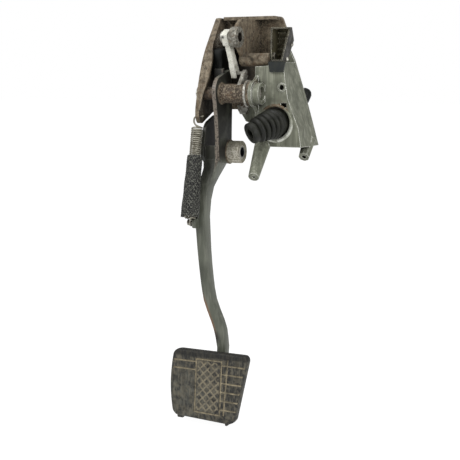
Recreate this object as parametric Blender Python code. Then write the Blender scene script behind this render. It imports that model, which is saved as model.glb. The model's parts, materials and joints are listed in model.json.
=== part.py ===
"""Hanging clutch pedal of a heavy truck: hanger bracket, pedal, return spring and cylinder bracket.

Metres, +Z up, the driver sits on the -Y side. The origin is the middle of the hanger's back face,
the face that is bolted to the cab wall. Places are written from the pivot's centre through at().
"""
import math

import bmesh
import bpy
from mathutils import Vector

for old in list(bpy.data.objects):
    bpy.data.objects.remove(old, do_unlink=True)

# The gap between pieces that touch
GAP = 0.0003

# The pivot, from the hanger's back face
PIVOT_TO_WALL = 0.064
PIVOT_BELOW_ORIGIN = 0.035
PIVOT = Vector((0.0, -PIVOT_TO_WALL, -PIVOT_BELOW_ORIGIN))

# The hanger bracket, pressed and welded steel
HANGER_SHEET = 0.004
SIDE_SHEET = 0.005
SIDE_OUTER_X = -0.043
TURNED_EDGE = 0.0028
HANGER_TOP = 0.0895
HANGER_FOOT = -0.020
HANGER_RIGHT_TOP = 0.034
HANGER_RIGHT = 0.040
TOP_FLANGE_DEPTH = 0.020
SPRING_HOLE = (-0.0122, -0.0262)
SPRING_HOLE_RADIUS = 0.0019
WALL_BOLT_HOLE_RADIUS = 0.0045

# The pivot bolt and what it carries
BOLT_RADIUS = 0.0058
BOLT_CLEARANCE = 0.0004
BUSH_WALL = 0.0018
TUBE_RADIUS = 0.011
TUBE_LEFT = -0.024
TUBE_RIGHT = 0.0154
EAR_NOSE_RADIUS = 0.014
THRUST_WASHER_RADIUS = 0.0155
THRUST_WASHER = 0.0025
EAR_SHEET = 0.003
BOLT_HEAD = 0.003
BOLT_HEAD_RADIUS = 0.0080
SPACER_RADIUS = 0.0074
PIVOT_BOSS_RADIUS = 0.0125
PIVOT_BOSS_LENGTH = 0.0120
PIVOT_BOSS_RECESS = 0.0082
PIVOT_BOSS_RECESS_DEPTH = 0.0065

# The lever above the pivot
LEVER_AXIS = (-0.008, 0.0634)
LEVER_LEFT = -0.010
LEVER_WIDTH = 0.0075
LEVER_SHAFT_RADIUS = 0.0050
SHAFT_BOSS_RADIUS = 0.0115
SHAFT_BOSS_END = 0.0096
TRIP_PIN = (0.014, 0.0234)
TRIP_PIN_RADIUS = 0.002
FORK_CLEARANCE = 0.0015
LUG_SHEET = 0.004
LUG_LEFT = 0.005

# The stop bar of the hanger
BAR_AXIS = (0.016, 0.0385)
BAR_RADIUS = 0.0075
BAR_LEFT = -0.0008
BAR_RIGHT = 0.0369

# The pedal's cheeks and arm
CHEEK_RIGHT_FACE = -0.0164
CHEEK_SHEET = 0.0046
YOKE_WIDTH = 0.0211
LEFT_CHEEK_SHEET = 0.004
ARM_END_WIDTH = 0.0112
ARM_END_DEPTH = 0.0134
PUSHROD_EYE = (0.023, -0.0688)
EYE_RADIUS = 0.0132
EYE_END = 0.0
EYE_BUSH_RADIUS = 0.008
EYE_BORE_RADIUS = 0.0055
STOP_TAB_BACK = 0.012
STOP_TAB_SHEET = 0.004
STOP_TAB_LEFT = -0.0295

# The rubber block behind the tab
STOP_LEFT, STOP_RIGHT = -0.0372, -0.0215
STOP_LOW, STOP_HIGH = 0.0190, 0.0525
STOP_CORNER = 0.0078

# The pad
PAD_CENTRE = (-0.0115, -0.0447, -0.337)
PAD_TILT = math.radians(6)
PAD_RUBBER = 0.012
PAD_PLATE = 0.004
GROOVE_PITCH = 0.01005
GROOVE_WIDTH = 0.0022
GROOVE_DEPTH = 0.0022

# The return spring and its sleeve
SPRING_TOP = (-0.0412, -0.0150, -0.0397)
SLEEVE_BOTTOM = (-0.0366, -0.0450, -0.1394)
SPRING_RADIUS = 0.0059
WIRE_RADIUS = 0.0010
SPRING_PITCH = 0.00245
SLEEVE_START = 0.32
SLEEVE_WALL = 0.0012
SLEEVE_TOP_RADIUS = SPRING_RADIUS + WIRE_RADIUS + GAP + SLEEVE_WALL
SLEEVE_END_RADIUS = SLEEVE_TOP_RADIUS + 0.0020
PEG = (-0.0365, -0.1472)
PEG_RADIUS = 0.0022
PEG_EAR_RIGHT = -0.0332
PEG_EAR_SHEET = 0.003
PEG_X = -0.0393

# The cylinder bracket, cast aluminium
CAST_WALL = 0.004
FACE_FRONT = 0.008
CAST_TOP = 0.030
CAST_FOOT = -0.0606
CAST_FRONT_EDGE = [(0.0557, 0.0355), (0.0616, -0.0048), (0.0750, -0.0395), (0.0783, CAST_FOOT)]
CAST_BACK_EDGE = [(0.0524, 0.0358), (0.0657, -0.0048), (0.0758, -0.0395), (0.0816, CAST_FOOT)]
CYLINDER_X = 0.0465
CYLINDER_Z = -0.0335
OPENING_RADIUS = 0.0185
CYLINDER_RADIUS = 0.015
CYLINDER_FLANGE_RADIUS = 0.0200
CYLINDER_BACK = 0.078
BORE_RADIUS = 0.0095
PISTON_LENGTH = 0.028
PORT_Y = 0.069
PORT_LEAN = math.radians(23.5)
BOOT_END = (0.0302, -0.0270, -0.0444)
BOOT_BASE_RADIUS = 0.0178
BOOT_TIP_RADIUS = 0.0142
BOOT_WALL = 0.0016
BOOT_FOLDS = 5

# The switch guard
GUARD_FRONT = 0.014
GUARD_BACK = 0.039
GUARD_FLOOR = 0.0365
GUARD_TOP = 0.0745
GUARD_SHEET = 0.0016
GUARD_SCREW = (0.0185, 0.0425)
# Height, left face, right face, how far back the right face runs, where the back's right end is
GUARD_LEVELS = [(GUARD_FLOOR, 0.0375, 0.0520, 0.0310, 0.0465), (0.0470, 0.0378, 0.0548, 0.0335, 0.0490),
                (0.0605, 0.0381, 0.0584, 0.0360, 0.0525), (GUARD_TOP, 0.0385, 0.0622, 0.0190, 0.0520)]

# The two bolts that join the hanger and the casting, across and up
JOIN_UPPER = (0.0330, 0.0215)
JOIN_LOWER = (-0.0120, -0.0195)
JOIN_BOLT_RADIUS = 0.004


def at(x, y, z):
    """A place from the pivot's centre."""
    return PIVOT + Vector((x, y, z))


def finish(name, colour, roughness, metallic):
    material = bpy.data.materials.new(name)
    material.use_nodes = True
    shader = material.node_tree.nodes["Principled BSDF"]
    shader.inputs["Base Color"].default_value = (*colour, 1.0)
    shader.inputs["Roughness"].default_value = roughness
    shader.inputs["Metallic"].default_value = metallic
    return material


RUSTY_STEEL = finish("rusty_steel", (0.13, 0.085, 0.06), 0.75, 0.35)
ARM_PAINT = finish("arm_paint", (0.14, 0.145, 0.12), 0.5, 0.2)
CAST_ALUMINIUM = finish("cast_aluminium", (0.21, 0.22, 0.17), 0.45, 0.7)
PALE_ALUMINIUM = finish("pale_aluminium", (0.65, 0.63, 0.55), 0.4, 0.5)
BLACK_RUBBER = finish("black_rubber", (0.02, 0.02, 0.018), 0.5, 0.0)
PAD_RUBBER_FINISH = finish("pad_rubber", (0.04, 0.04, 0.038), 0.75, 0.0)
SPRING_STEEL = finish("spring_steel", (0.3, 0.29, 0.2), 0.4, 0.8)
BRAID = finish("braid", (0.04, 0.035, 0.04), 0.7, 0.0)
ZINC_STEEL = finish("zinc_steel", (0.35, 0.34, 0.3), 0.4, 0.9)
BLACK_STEEL = finish("black_steel", (0.03, 0.028, 0.022), 0.5, 0.3)
BLUE_GREY_PLASTIC = finish("blue_grey_plastic", (0.035, 0.04, 0.042), 0.45, 0.0)
BRONZE = finish("bronze", (0.35, 0.22, 0.1), 0.35, 0.9)


def add(name, bm, material=None, smooth=True):
    """Turn a bmesh into an object with its faces pointing out."""
    bmesh.ops.recalc_face_normals(bm, faces=bm.faces)
    mesh = bpy.data.meshes.new(name)
    bm.to_mesh(mesh)
    bm.free()
    if smooth:
        mesh.shade_smooth()
        mesh.set_sharp_from_angle(angle=math.radians(35))
    thing = bpy.data.objects.new(name, mesh)
    bpy.context.scene.collection.objects.link(thing)
    if material:
        mesh.materials.append(material)
    return thing


def loft(name, sections, material=None, closed=False):
    """Skin a row of loops with equal point counts and cap its two ends."""
    bm = bmesh.new()
    rings = [[bm.verts.new(point) for point in section] for section in sections]
    count = len(rings[0])
    pairs = list(zip(rings, rings[1:]))
    if closed:
        pairs.append((rings[-1], rings[0]))
    for first, second in pairs:
        for i in range(count):
            j = (i + 1) % count
            bm.faces.new((first[i], first[j], second[j], second[i]))
    if not closed:
        bm.faces.new(list(reversed(rings[0])))
        bm.faces.new(rings[-1])
    return add(name, bm, material)


def prism_x(name, outline, left, right, material=None):
    """Extrude a (y, z) outline across the object."""
    return loft(name, [[at(x, y, z) for y, z in outline] for x in (left, right)], material)


def prism_y(name, outline, front, back, material=None):
    """Extrude an (x, z) outline from front to back."""
    return loft(name, [[at(x, y, z) for x, z in outline] for y in (front, back)], material)


def basis(direction):
    """Two unit vectors square to a direction."""
    forward = Vector(direction).normalized()
    helper = Vector((0, 0, 1)) if abs(forward.z) < 0.9 else Vector((1, 0, 0))
    side = forward.cross(helper).normalized()
    return side, forward.cross(side).normalized()


def circle(centre, direction, radius, steps=24, turn=0.0):
    side, other = basis(direction)
    angles = [turn + 2 * math.pi * i / steps for i in range(steps)]
    return [Vector(centre) + radius * (math.cos(a) * side + math.sin(a) * other) for a in angles]


def rod(name, start, end, radius, material=None, steps=24, end_radius=None):
    direction = Vector(end) - Vector(start)
    tip = radius if end_radius is None else end_radius
    sections = [circle(start, direction, radius, steps), circle(end, direction, tip, steps)]
    return loft(name, sections, material)


def turned(name, start, direction, profile, material=None, steps=28):
    """Turn a closed (along, radius) profile round a line."""
    forward = Vector(direction).normalized()
    sections = [circle(Vector(start) + forward * along, forward, radius, steps) for along, radius in profile]
    return loft(name, sections, material, closed=True)


def ring(name, start, end, outer, inner, material=None, steps=28):
    length = (Vector(end) - Vector(start)).length
    profile = [(0, inner), (0, outer), (length, outer), (length, inner)]
    return turned(name, start, Vector(end) - Vector(start), profile, material, steps)


def guide(thing):
    thing.hide_render = True
    thing.display_type = "WIRE"
    return thing


def combine(base, operation, tools):
    for tool in tools:
        step = base.modifiers.new(tool.name, "BOOLEAN")
        step.operation = operation
        step.object = guide(tool)
    return base


def weld(base, *parts):
    return combine(base, "UNION", parts)


def cut(base, *cutters):
    return combine(base, "DIFFERENCE", cutters)


def rounded(outline, radius, steps=4):
    """Round each corner of a flat outline; radius may be one number or one for each corner."""
    points = [Vector(p) for p in outline]
    radii = radius if isinstance(radius, (list, tuple)) else [radius] * len(points)
    result = []
    for i, corner in enumerate(points):
        before = (points[i - 1] - corner)
        after = (points[(i + 1) % len(points)] - corner)
        reach = min(radii[i], before.length * 0.45, after.length * 0.45)
        if reach == 0:
            result.append(tuple(corner))
            continue
        start = corner + before.normalized() * reach
        end = corner + after.normalized() * reach
        for k in range(steps + 1):
            t = k / steps
            result.append(tuple(start * (1 - t) ** 2 + corner * 2 * t * (1 - t) + end * t ** 2))
    return result


def hexagon(name, start, end, radius, material):
    return rod(name, start, end, radius, material, steps=6)


# Where the pieces on the pivot bolt lie, from left to right
SIDE_INNER_X = SIDE_OUTER_X + SIDE_SHEET
CHEEK_LEFT_FACE = CHEEK_RIGHT_FACE - CHEEK_SHEET
WASHER_LEFT = TUBE_RIGHT + GAP
EAR_LEFT = WASHER_LEFT + THRUST_WASHER + GAP
CAST_LEFT = EAR_LEFT + EAR_SHEET + GAP
CAST_LEFT_INNER = CAST_LEFT + CAST_WALL
PIVOT_BOSS_END = CAST_LEFT + PIVOT_BOSS_LENGTH
BOLT_HOLE = BOLT_RADIUS + BOLT_CLEARANCE
HANGER_FRONT = PIVOT_TO_WALL - HANGER_SHEET
CAST_BACK = HANGER_FRONT - GAP


def hanger_bracket():
    """Back plate, left side plate with its turned edge, top flange, right ear, gusset, boss and bar."""
    plate_outline = [(SIDE_OUTER_X, HANGER_TOP), (HANGER_RIGHT_TOP, HANGER_TOP), (HANGER_RIGHT, 0.074),
                     (HANGER_RIGHT, HANGER_FOOT), (SIDE_OUTER_X, HANGER_FOOT)]
    back = prism_y("hanger_bracket", rounded(plate_outline, 0.004), HANGER_FRONT, PIVOT_TO_WALL, RUSTY_STEEL)
    inside = PIVOT_TO_WALL - HANGER_SHEET / 2
    top_y = PIVOT_TO_WALL - TOP_FLANGE_DEPTH
    flange_top = HANGER_TOP - 0.0002
    top_outline = [(top_y, flange_top), (top_y, flange_top - HANGER_SHEET), (inside, flange_top - HANGER_SHEET),
                   (inside, flange_top)]
    top = prism_x("top_flange", top_outline, SIDE_OUTER_X + 0.009, HANGER_RIGHT_TOP - 0.003)

    edge = [(0.0414, HANGER_TOP - 0.0012), (0.0051, 0.0441), (-0.0086, 0.0119), (-0.0169, -0.0189),
            (-0.0165, -0.0290), (-0.0102, -0.0353)]
    side_outline = edge + [(0.030, -0.0190), (inside, -0.0160), (inside, HANGER_TOP - 0.0012)]
    radii = [0.003, 0.030, 0.030, 0.010, 0.004, 0.004, 0.010, 0.0, 0.0]
    side = prism_x("side_plate", rounded(side_outline, radii), SIDE_OUTER_X + 0.0001, SIDE_INNER_X)

    turned_widths = [0.0065, 0.0126, 0.0122, 0.0060]
    strip = []
    front_line = rounded(edge[:4], [0.0, 0.030, 0.030, 0.0])
    for i, (y, z) in enumerate(front_line):
        share = (len(turned_widths) - 1) * i / (len(front_line) - 1)
        low = min(int(share), len(turned_widths) - 2)
        width = turned_widths[low] + (turned_widths[low + 1] - turned_widths[low]) * (share - low)
        right = SIDE_OUTER_X + width
        y_in = y + TURNED_EDGE
        strip.append([at(SIDE_INNER_X - 0.002, y + 0.0001, z), at(right, y + 0.0001, z), at(right, y_in, z - 0.001),
                      at(SIDE_INNER_X - 0.002, y_in, z - 0.001)])
    flange = loft("turned_edge", strip)

    nose = [(EAR_NOSE_RADIUS * math.cos(a), EAR_NOSE_RADIUS * math.sin(a))
            for a in [math.radians(90 + 15 * k) for k in range(13)]]
    ear = prism_x("ear", [(inside, EAR_NOSE_RADIUS + 0.006)] + nose + [(inside, -EAR_NOSE_RADIUS)],
                  EAR_LEFT, EAR_LEFT + EAR_SHEET)

    boss_y, boss_z = LEVER_AXIS
    bar_y, bar_z = BAR_AXIS
    gusset_left = SHAFT_BOSS_END - 0.0075
    gusset_outline = [(boss_y - 0.007, boss_z + 0.006), (boss_y + 0.012, HANGER_TOP - 0.005), (inside, HANGER_TOP - 0.003),
                      (inside, bar_z + 0.004), (bar_y + 0.006, bar_z - 0.003), (bar_y - 0.004, bar_z), (boss_y + 0.002, boss_z - 0.009)]
    gusset = prism_x("gusset", rounded(gusset_outline, 0.008), gusset_left, gusset_left + HANGER_SHEET)
    boss = rod("shaft_boss", at(LEVER_LEFT + LEVER_WIDTH + 2 * GAP + 0.002, boss_y, boss_z),
               at(SHAFT_BOSS_END, boss_y, boss_z), SHAFT_BOSS_RADIUS)
    bar_profile = [(0.0, BAR_RADIUS * 0.45), (0.0012, BAR_RADIUS * 0.8), (0.0032, BAR_RADIUS),
                   (BAR_RIGHT - BAR_LEFT, BAR_RADIUS)]
    forward = Vector((1, 0, 0))
    bar = loft("stop_bar", [circle(at(BAR_LEFT + along, bar_y, bar_z), forward, radius) for along, radius in bar_profile])
    weld(back, side, top, flange, ear, gusset, boss, bar)

    hole_y, hole_z = SPRING_HOLE
    holes = [rod("pivot_holes", at(SIDE_OUTER_X - 0.01, 0, 0), at(CAST_LEFT, 0, 0), BOLT_HOLE),
             rod("shaft_hole", at(LEVER_LEFT, boss_y, boss_z), at(SHAFT_BOSS_END + 0.01, boss_y, boss_z),
                 LEVER_SHAFT_RADIUS + GAP),
             rod("spring_hole", at(SIDE_OUTER_X - 0.01, hole_y, hole_z), at(SIDE_INNER_X + 0.002, hole_y, hole_z),
                 SPRING_HOLE_RADIUS, steps=12)]
    for name, x, z in [("wall_hole_1", -0.030, 0.070), ("wall_hole_2", 0.024, 0.070),
                       ("wall_hole_3", -0.030, -0.008), ("wall_hole_4", *JOIN_UPPER), ("wall_hole_5", *JOIN_LOWER)]:
        holes.append(rod(name, at(x, HANGER_FRONT - 0.004, z), at(x, PIVOT_TO_WALL + 0.004, z),
                         WALL_BOLT_HOLE_RADIUS, steps=16))
    cut(back, *holes)


def shifted(edge, shift):
    return [(x + shift, z) for x, z in edge]


def cylinder_bracket():
    """Face, two side walls, floor and back flange in one casting, with its two stand-off legs."""
    face_outline = [(CAST_LEFT, 0.0306), (0.0372, 0.0316), (0.0390, 0.0335), (0.0405, 0.0245), (0.0500, 0.0245),
                    (0.0515, 0.0352)]
    face_outline += CAST_FRONT_EDGE + [(CAST_LEFT, CAST_FOOT)]
    face = prism_y("cylinder_bracket", face_outline, FACE_FRONT, FACE_FRONT + CAST_WALL, CAST_ALUMINIUM)

    wall_front = FACE_FRONT + 0.0001
    wall_sections = []
    for y, edge in [(wall_front, CAST_FRONT_EDGE), (CAST_BACK - CAST_WALL - 0.0005, CAST_BACK_EDGE),
                    (CAST_BACK - 0.001, CAST_BACK_EDGE)]:
        outline = shifted(edge, -0.0001) + shifted(edge, -CAST_WALL * 1.05)[::-1]
        wall_sections.append([at(x, y, z) for x, z in outline])
    right_wall = loft("right_wall", wall_sections)
    nose_radius = EAR_NOSE_RADIUS + 0.001
    nose = [(nose_radius * math.cos(a), nose_radius * math.sin(a))
            for a in [math.radians(90 + 15 * k) for k in range(13)]]
    wall_outline = [(CAST_BACK - 0.001, CAST_TOP - 0.0001), (FACE_FRONT + 0.0001, CAST_TOP - 0.0001),
                    (FACE_FRONT + 0.0001, 0.020)] + nose
    wall_outline += [(FACE_FRONT + 0.0001, -0.022), (FACE_FRONT + 0.0001, CAST_FOOT + 0.0001),
                     (CAST_BACK - 0.001, CAST_FOOT + 0.0001)]
    left_wall = prism_x("left_wall", wall_outline, CAST_LEFT + 0.0001, CAST_LEFT_INNER)
    floor_outline = [(CAST_LEFT + 0.0001, CAST_FOOT + 0.0001), (0.0780, CAST_FOOT + 0.0001),
                     (0.0778, CAST_FOOT + CAST_WALL), (CAST_LEFT + 0.0001, CAST_FOOT + CAST_WALL)]
    floor = prism_y("floor", floor_outline, wall_front, CAST_BACK - 0.001)
    wing_top = -EAR_NOSE_RADIUS - 0.001
    back_outline = [(CAST_LEFT, CAST_TOP), (CAST_LEFT, wing_top), (-0.022, wing_top), (-0.010, -0.034),
                    (CAST_LEFT, -0.045), (CAST_LEFT, CAST_FOOT)] + CAST_BACK_EDGE[::-1]
    back_outline += [(0.0515, 0.0386), (0.0461, 0.0500), (0.0428, 0.0490), (0.0408, CAST_TOP)]
    back = prism_y("back_flange", back_outline, CAST_BACK - CAST_WALL, CAST_BACK)
    rib_outline = [(CAST_BACK - 0.002, wing_top - 0.002), (CAST_BACK - 0.012, wing_top - 0.002), (CAST_BACK - 0.002, -0.030)]
    rib = prism_x("wing_rib", rib_outline, 0.008, 0.012)

    left_tip = Vector(at(0.0349, -0.0270, -0.0926))
    left_root = Vector(at(0.0298, 0.0140, -0.0560))
    left_leg = rod("left_leg", left_root, left_tip, 0.0095, steps=24, end_radius=0.0062)
    right_tip = Vector(at(0.0750, 0.0275, -0.0726))
    right_root = Vector(at(0.0733, 0.0490, -0.0540))
    right_leg = rod("right_leg", right_root, right_tip, 0.0080, steps=8, end_radius=0.0064)
    pivot_boss = rod("pivot_boss", at(CAST_LEFT + 0.0002, 0, 0), at(PIVOT_BOSS_END, 0, 0), PIVOT_BOSS_RADIUS, steps=32)
    rim = rod("hole_rim", at(0.0545, FACE_FRONT - 0.0009, 0.0070), at(0.0545, FACE_FRONT + 0.002, 0.0070), 0.0050, steps=20)
    weld(face, right_wall, left_wall, floor, back, left_leg, right_leg, pivot_boss, rim, rib)

    front, rear = FACE_FRONT - 0.004, FACE_FRONT + CAST_WALL + 0.003
    left_axis = (left_tip - left_root).normalized()
    right_axis = (right_tip - right_root).normalized()
    cutters = [rod("boot_opening", at(CYLINDER_X, front, CYLINDER_Z), at(CYLINDER_X, rear, CYLINDER_Z), OPENING_RADIUS, steps=32),
               rod("rear_opening", at(CYLINDER_X, CAST_BACK - 0.01, CYLINDER_Z), at(CYLINDER_X, CAST_BACK + 0.01, CYLINDER_Z),
                   CYLINDER_RADIUS + 0.001, steps=32),
               prism_y("face_notch", [(0.0535, -0.0105), (0.0605, -0.0105), (0.0605, -0.0155), (0.0535, -0.0155)], front, rear),
               rod("face_hole", at(0.0545, front, 0.0070), at(0.0545, rear, 0.0070), 0.0030, steps=16),
               rod("cast_pivot_hole", at(CAST_LEFT - 0.002, 0, 0), at(PIVOT_BOSS_END + 0.002, 0, 0), BOLT_HOLE),
               rod("pivot_boss_recess", at(PIVOT_BOSS_END - PIVOT_BOSS_RECESS_DEPTH, 0, 0), at(PIVOT_BOSS_END + 0.002, 0, 0),
                   PIVOT_BOSS_RECESS, steps=28),
               rod("left_leg_hole", left_tip - left_axis * 0.012, left_tip + left_axis * 0.003, 0.0017, steps=12),
               rod("right_leg_hole", right_tip - right_axis * 0.012, right_tip + right_axis * 0.003, 0.0026, steps=12)]
    for name, (x, z) in [("join_hole_upper", JOIN_UPPER), ("join_hole_lower", JOIN_LOWER)]:
        cutters.append(rod(name, at(x, CAST_BACK - 0.008, z), at(x, CAST_BACK + 0.004, z), JOIN_BOLT_RADIUS + GAP, steps=16))
    cut(face, *cutters)


def joining_bolts():
    """Hexagon bolts from the front, nuts on the wall side sunk in the cab wall's clearance."""
    for label, (x, z) in [("upper", JOIN_UPPER), ("lower", JOIN_LOWER)]:
        head_front = CAST_BACK - CAST_WALL - GAP - 0.005
        bolt = hexagon(f"joining_bolt_{label}", at(x, head_front, z), at(x, CAST_BACK - CAST_WALL - GAP, z), 0.0068, ZINC_STEEL)
        shank = rod(f"joining_shank_{label}", at(x, head_front + 0.002, z), at(x, PIVOT_TO_WALL - 0.0006, z), JOIN_BOLT_RADIUS, steps=16)
        weld(bolt, shank)


def pivot_group():
    """Bolt, washer, tube, bushes and the spacer on the pivot; the bolt ends in the casting's boss."""
    bolt_head_left = SIDE_OUTER_X - GAP - BOLT_HEAD
    bolt = hexagon("pivot_bolt", at(bolt_head_left, 0, 0), at(SIDE_OUTER_X - GAP, 0, 0), BOLT_HEAD_RADIUS, ZINC_STEEL)
    shank_end = PIVOT_BOSS_END - PIVOT_BOSS_RECESS_DEPTH * 0.5
    shank = rod("pivot_shank", at(bolt_head_left + BOLT_HEAD * 0.4, 0, 0), at(shank_end, 0, 0), BOLT_RADIUS)
    weld(bolt, shank)
    ring("thrust_washer", at(WASHER_LEFT, 0, 0), at(WASHER_LEFT + THRUST_WASHER, 0, 0), THRUST_WASHER_RADIUS, BOLT_HOLE, ZINC_STEEL)
    bush_outer = BOLT_HOLE + BUSH_WALL
    ring("pivot_tube", at(TUBE_LEFT, 0, 0), at(TUBE_RIGHT, 0, 0), TUBE_RADIUS, bush_outer + GAP, RUSTY_STEEL, steps=36)
    for name, start in [("pivot_bush_left", TUBE_LEFT), ("pivot_bush_right", TUBE_RIGHT - 0.014)]:
        ring(name, at(start, 0, 0), at(start + 0.014, 0, 0), bush_outer, BOLT_HOLE, BRONZE)
    ring("pivot_spacer", at(SIDE_INNER_X + GAP, 0, 0), at(TUBE_LEFT - GAP, 0, 0), SPACER_RADIUS, BOLT_HOLE, RUSTY_STEEL)


def behind_pad(z, depth):
    """The middle of a bar of this depth that lies along the back of the pad plate at height z."""
    pad_y, pad_z = PAD_CENTRE[1], PAD_CENTRE[2]
    back = pad_y + (PAD_RUBBER + PAD_PLATE + GAP) / math.cos(PAD_TILT) + math.tan(PAD_TILT) * (z - pad_z)
    return back + depth / 2


def arm_sections():
    """Rounded rectangles down the arm: centre x, y, z, width across and depth."""
    yoke_middle = CHEEK_RIGHT_FACE - YOKE_WIDTH / 2
    stations = [(yoke_middle, 0.0080, -0.0760, YOKE_WIDTH, 0.0330), (yoke_middle - 0.0010, 0.0035, -0.0860, 0.0168, 0.0285),
                (-0.0285, -0.0075, -0.0970, 0.0150, 0.0235), (-0.0303, -0.0145, -0.1080, 0.0136, 0.0200),
                (-0.0318, -0.0180, -0.1230, 0.0132, 0.0184), (-0.0324, -0.0200, -0.1420, 0.0130, 0.0180),
                (-0.0312, -0.0200, -0.1620, 0.0124, 0.0176), (-0.0300, -0.0200, -0.1815, 0.0120, 0.0170),
                (-0.0286, -0.0198, -0.1980, 0.0118, 0.0166), (-0.0271, -0.0194, -0.2135, 0.0117, 0.0164),
                (-0.0255, -0.0190, -0.2270, 0.0117, 0.0162), (-0.0232, -0.0186, -0.2400, 0.0120, 0.0160),
                (-0.0190, -0.0182, -0.2520, 0.0124, 0.0156), (-0.0140, -0.0180, -0.2640, 0.0130, 0.0152),
                (-0.0104, -0.0181, -0.2740, 0.0130, 0.0148), (-0.0083, -0.0184, -0.2840, 0.0122, 0.0144),
                (-0.0074, behind_pad(-0.2960, 0.0140), -0.2960, 0.0116, 0.0140)]
    stations += [(x, behind_pad(z, ARM_END_DEPTH), z, ARM_END_WIDTH, ARM_END_DEPTH)
                 for x, z in [(-0.0074, -0.3120), (-0.0080, -0.3370), (-0.0085, -0.3530)]]
    sections = []
    for x, y, z, width, depth in stations:
        half_x, half_y = width / 2, depth / 2
        corners = [(x - half_x, y - half_y), (x + half_x, y - half_y), (x + half_x, y + half_y), (x - half_x, y + half_y)]
        sections.append([at(px, py, z) for px, py in rounded(corners, 0.0028, 2)])
    return sections


def pedal_arm():
    """Two cheek plates that run into one forged bar with a sideways bend above the pad."""
    arm = loft("pedal_arm", arm_sections(), ARM_PAINT)
    cheek_outline = [(0.0262, 0.0282), (-0.0120, 0.0170), (-0.0193, 0.0041), (-0.0139, -0.0164), (-0.0095, -0.0450),
                     (-0.0087, -0.0700), (-0.0055, -0.0800), (0.0220, -0.0830), (0.0275, -0.0700), (0.0285, -0.0316), (0.0300, 0.0)]
    radii = [0.004, 0.014, 0.012, 0.020, 0.02, 0.008, 0.01, 0.006, 0.02, 0.03, 0.02]
    cheek = prism_x("right_cheek", rounded(cheek_outline, radii), CHEEK_LEFT_FACE, CHEEK_RIGHT_FACE)
    left_outline = [(0.0240, -0.0245), (-0.0020, -0.0335), (-0.0078, -0.0400), (-0.0100, -0.0500), (-0.0140, -0.0640),
                    (-0.0146, -0.0700), (-0.0087, -0.0780), (-0.0055, -0.0800), (0.0220, -0.0815), (0.0260, -0.0600)]
    radii = [0.006, 0.006, 0.004, 0.01, 0.004, 0.003, 0.003, 0.003, 0.006, 0.006]
    yoke_left = CHEEK_RIGHT_FACE - YOKE_WIDTH
    left_cheek = prism_x("left_cheek", rounded(left_outline, radii), yoke_left, yoke_left + LEFT_CHEEK_SHEET)
    web_outline = [(-0.0098, -0.0600), (-0.0060, -0.0600), (-0.0040, -0.0790), (-0.0080, -0.0790)]
    web = prism_x("front_web", web_outline, yoke_left + 0.002, CHEEK_RIGHT_FACE - 0.002)
    tab_outline = [(STOP_TAB_BACK - STOP_TAB_SHEET, 0.0160), (STOP_TAB_BACK, 0.0160), (STOP_TAB_BACK, 0.0290),
                   (STOP_TAB_BACK - STOP_TAB_SHEET, 0.0280)]
    tab = prism_x("stop_tab", tab_outline, STOP_TAB_LEFT, CHEEK_RIGHT_FACE - 0.002)
    peg_y, peg_z = PEG
    ear_outline = rounded([(peg_y - 0.0045, peg_z + 0.0045), (peg_y - 0.0045, peg_z - 0.0060), (-0.0270, peg_z - 0.0080), (-0.0270, peg_z + 0.0045)],
                          [0.004, 0.004, 0.0, 0.0])
    ear = prism_x("spring_ear", ear_outline, PEG_EAR_RIGHT - PEG_EAR_SHEET, PEG_EAR_RIGHT)
    weld(arm, cheek, left_cheek, web, tab, ear)
    cut(arm, rod("tube_seat", at(CHEEK_LEFT_FACE - 0.004, 0, 0), at(CHEEK_RIGHT_FACE + 0.004, 0, 0), TUBE_RADIUS + GAP, steps=36))


def pushrod_eye():
    """Eye welded to the right cheek, with its pressed-in sleeve."""
    y, z = PUSHROD_EYE
    start = CHEEK_RIGHT_FACE + GAP
    profile = [(0, EYE_BUSH_RADIUS + GAP), (0, EYE_RADIUS), (EYE_END - start - 0.001, EYE_RADIUS),
               (EYE_END - start, EYE_RADIUS - 0.001), (EYE_END - start, EYE_BUSH_RADIUS + GAP)]
    turned("pushrod_eye", at(start, y, z), (1, 0, 0), profile, RUSTY_STEEL, steps=32)
    ring("eye_sleeve", at(start, y, z), at(EYE_END - 0.0006, y, z), EYE_BUSH_RADIUS, EYE_BORE_RADIUS, ZINC_STEEL)


def trip_lug():
    """Lug that stands on the pivot tube and the pin that works the lever."""
    pin_y, pin_z = TRIP_PIN
    foot = TUBE_RADIUS + GAP
    foot_points = [(foot * math.sin(a), foot * math.cos(a)) for a in [math.radians(d) for d in (45, 30, 15, 0, -15, -28)]]
    outline = foot_points + [(pin_y - 0.0055, pin_z + 0.0010), (pin_y - 0.0025, pin_z + 0.0038),
                             (pin_y + 0.0018, pin_z + 0.0026), (pin_y + 0.0038, pin_z - 0.0035)]
    lug = prism_x("trip_lug", outline, LUG_LEFT, LUG_LEFT + LUG_SHEET, ZINC_STEEL)
    pin = rod("trip_pin", at(LEVER_LEFT - 0.0005, pin_y, pin_z), at(LUG_LEFT + 0.002, pin_y, pin_z), TRIP_PIN_RADIUS, steps=16)
    weld(lug, pin)


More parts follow.
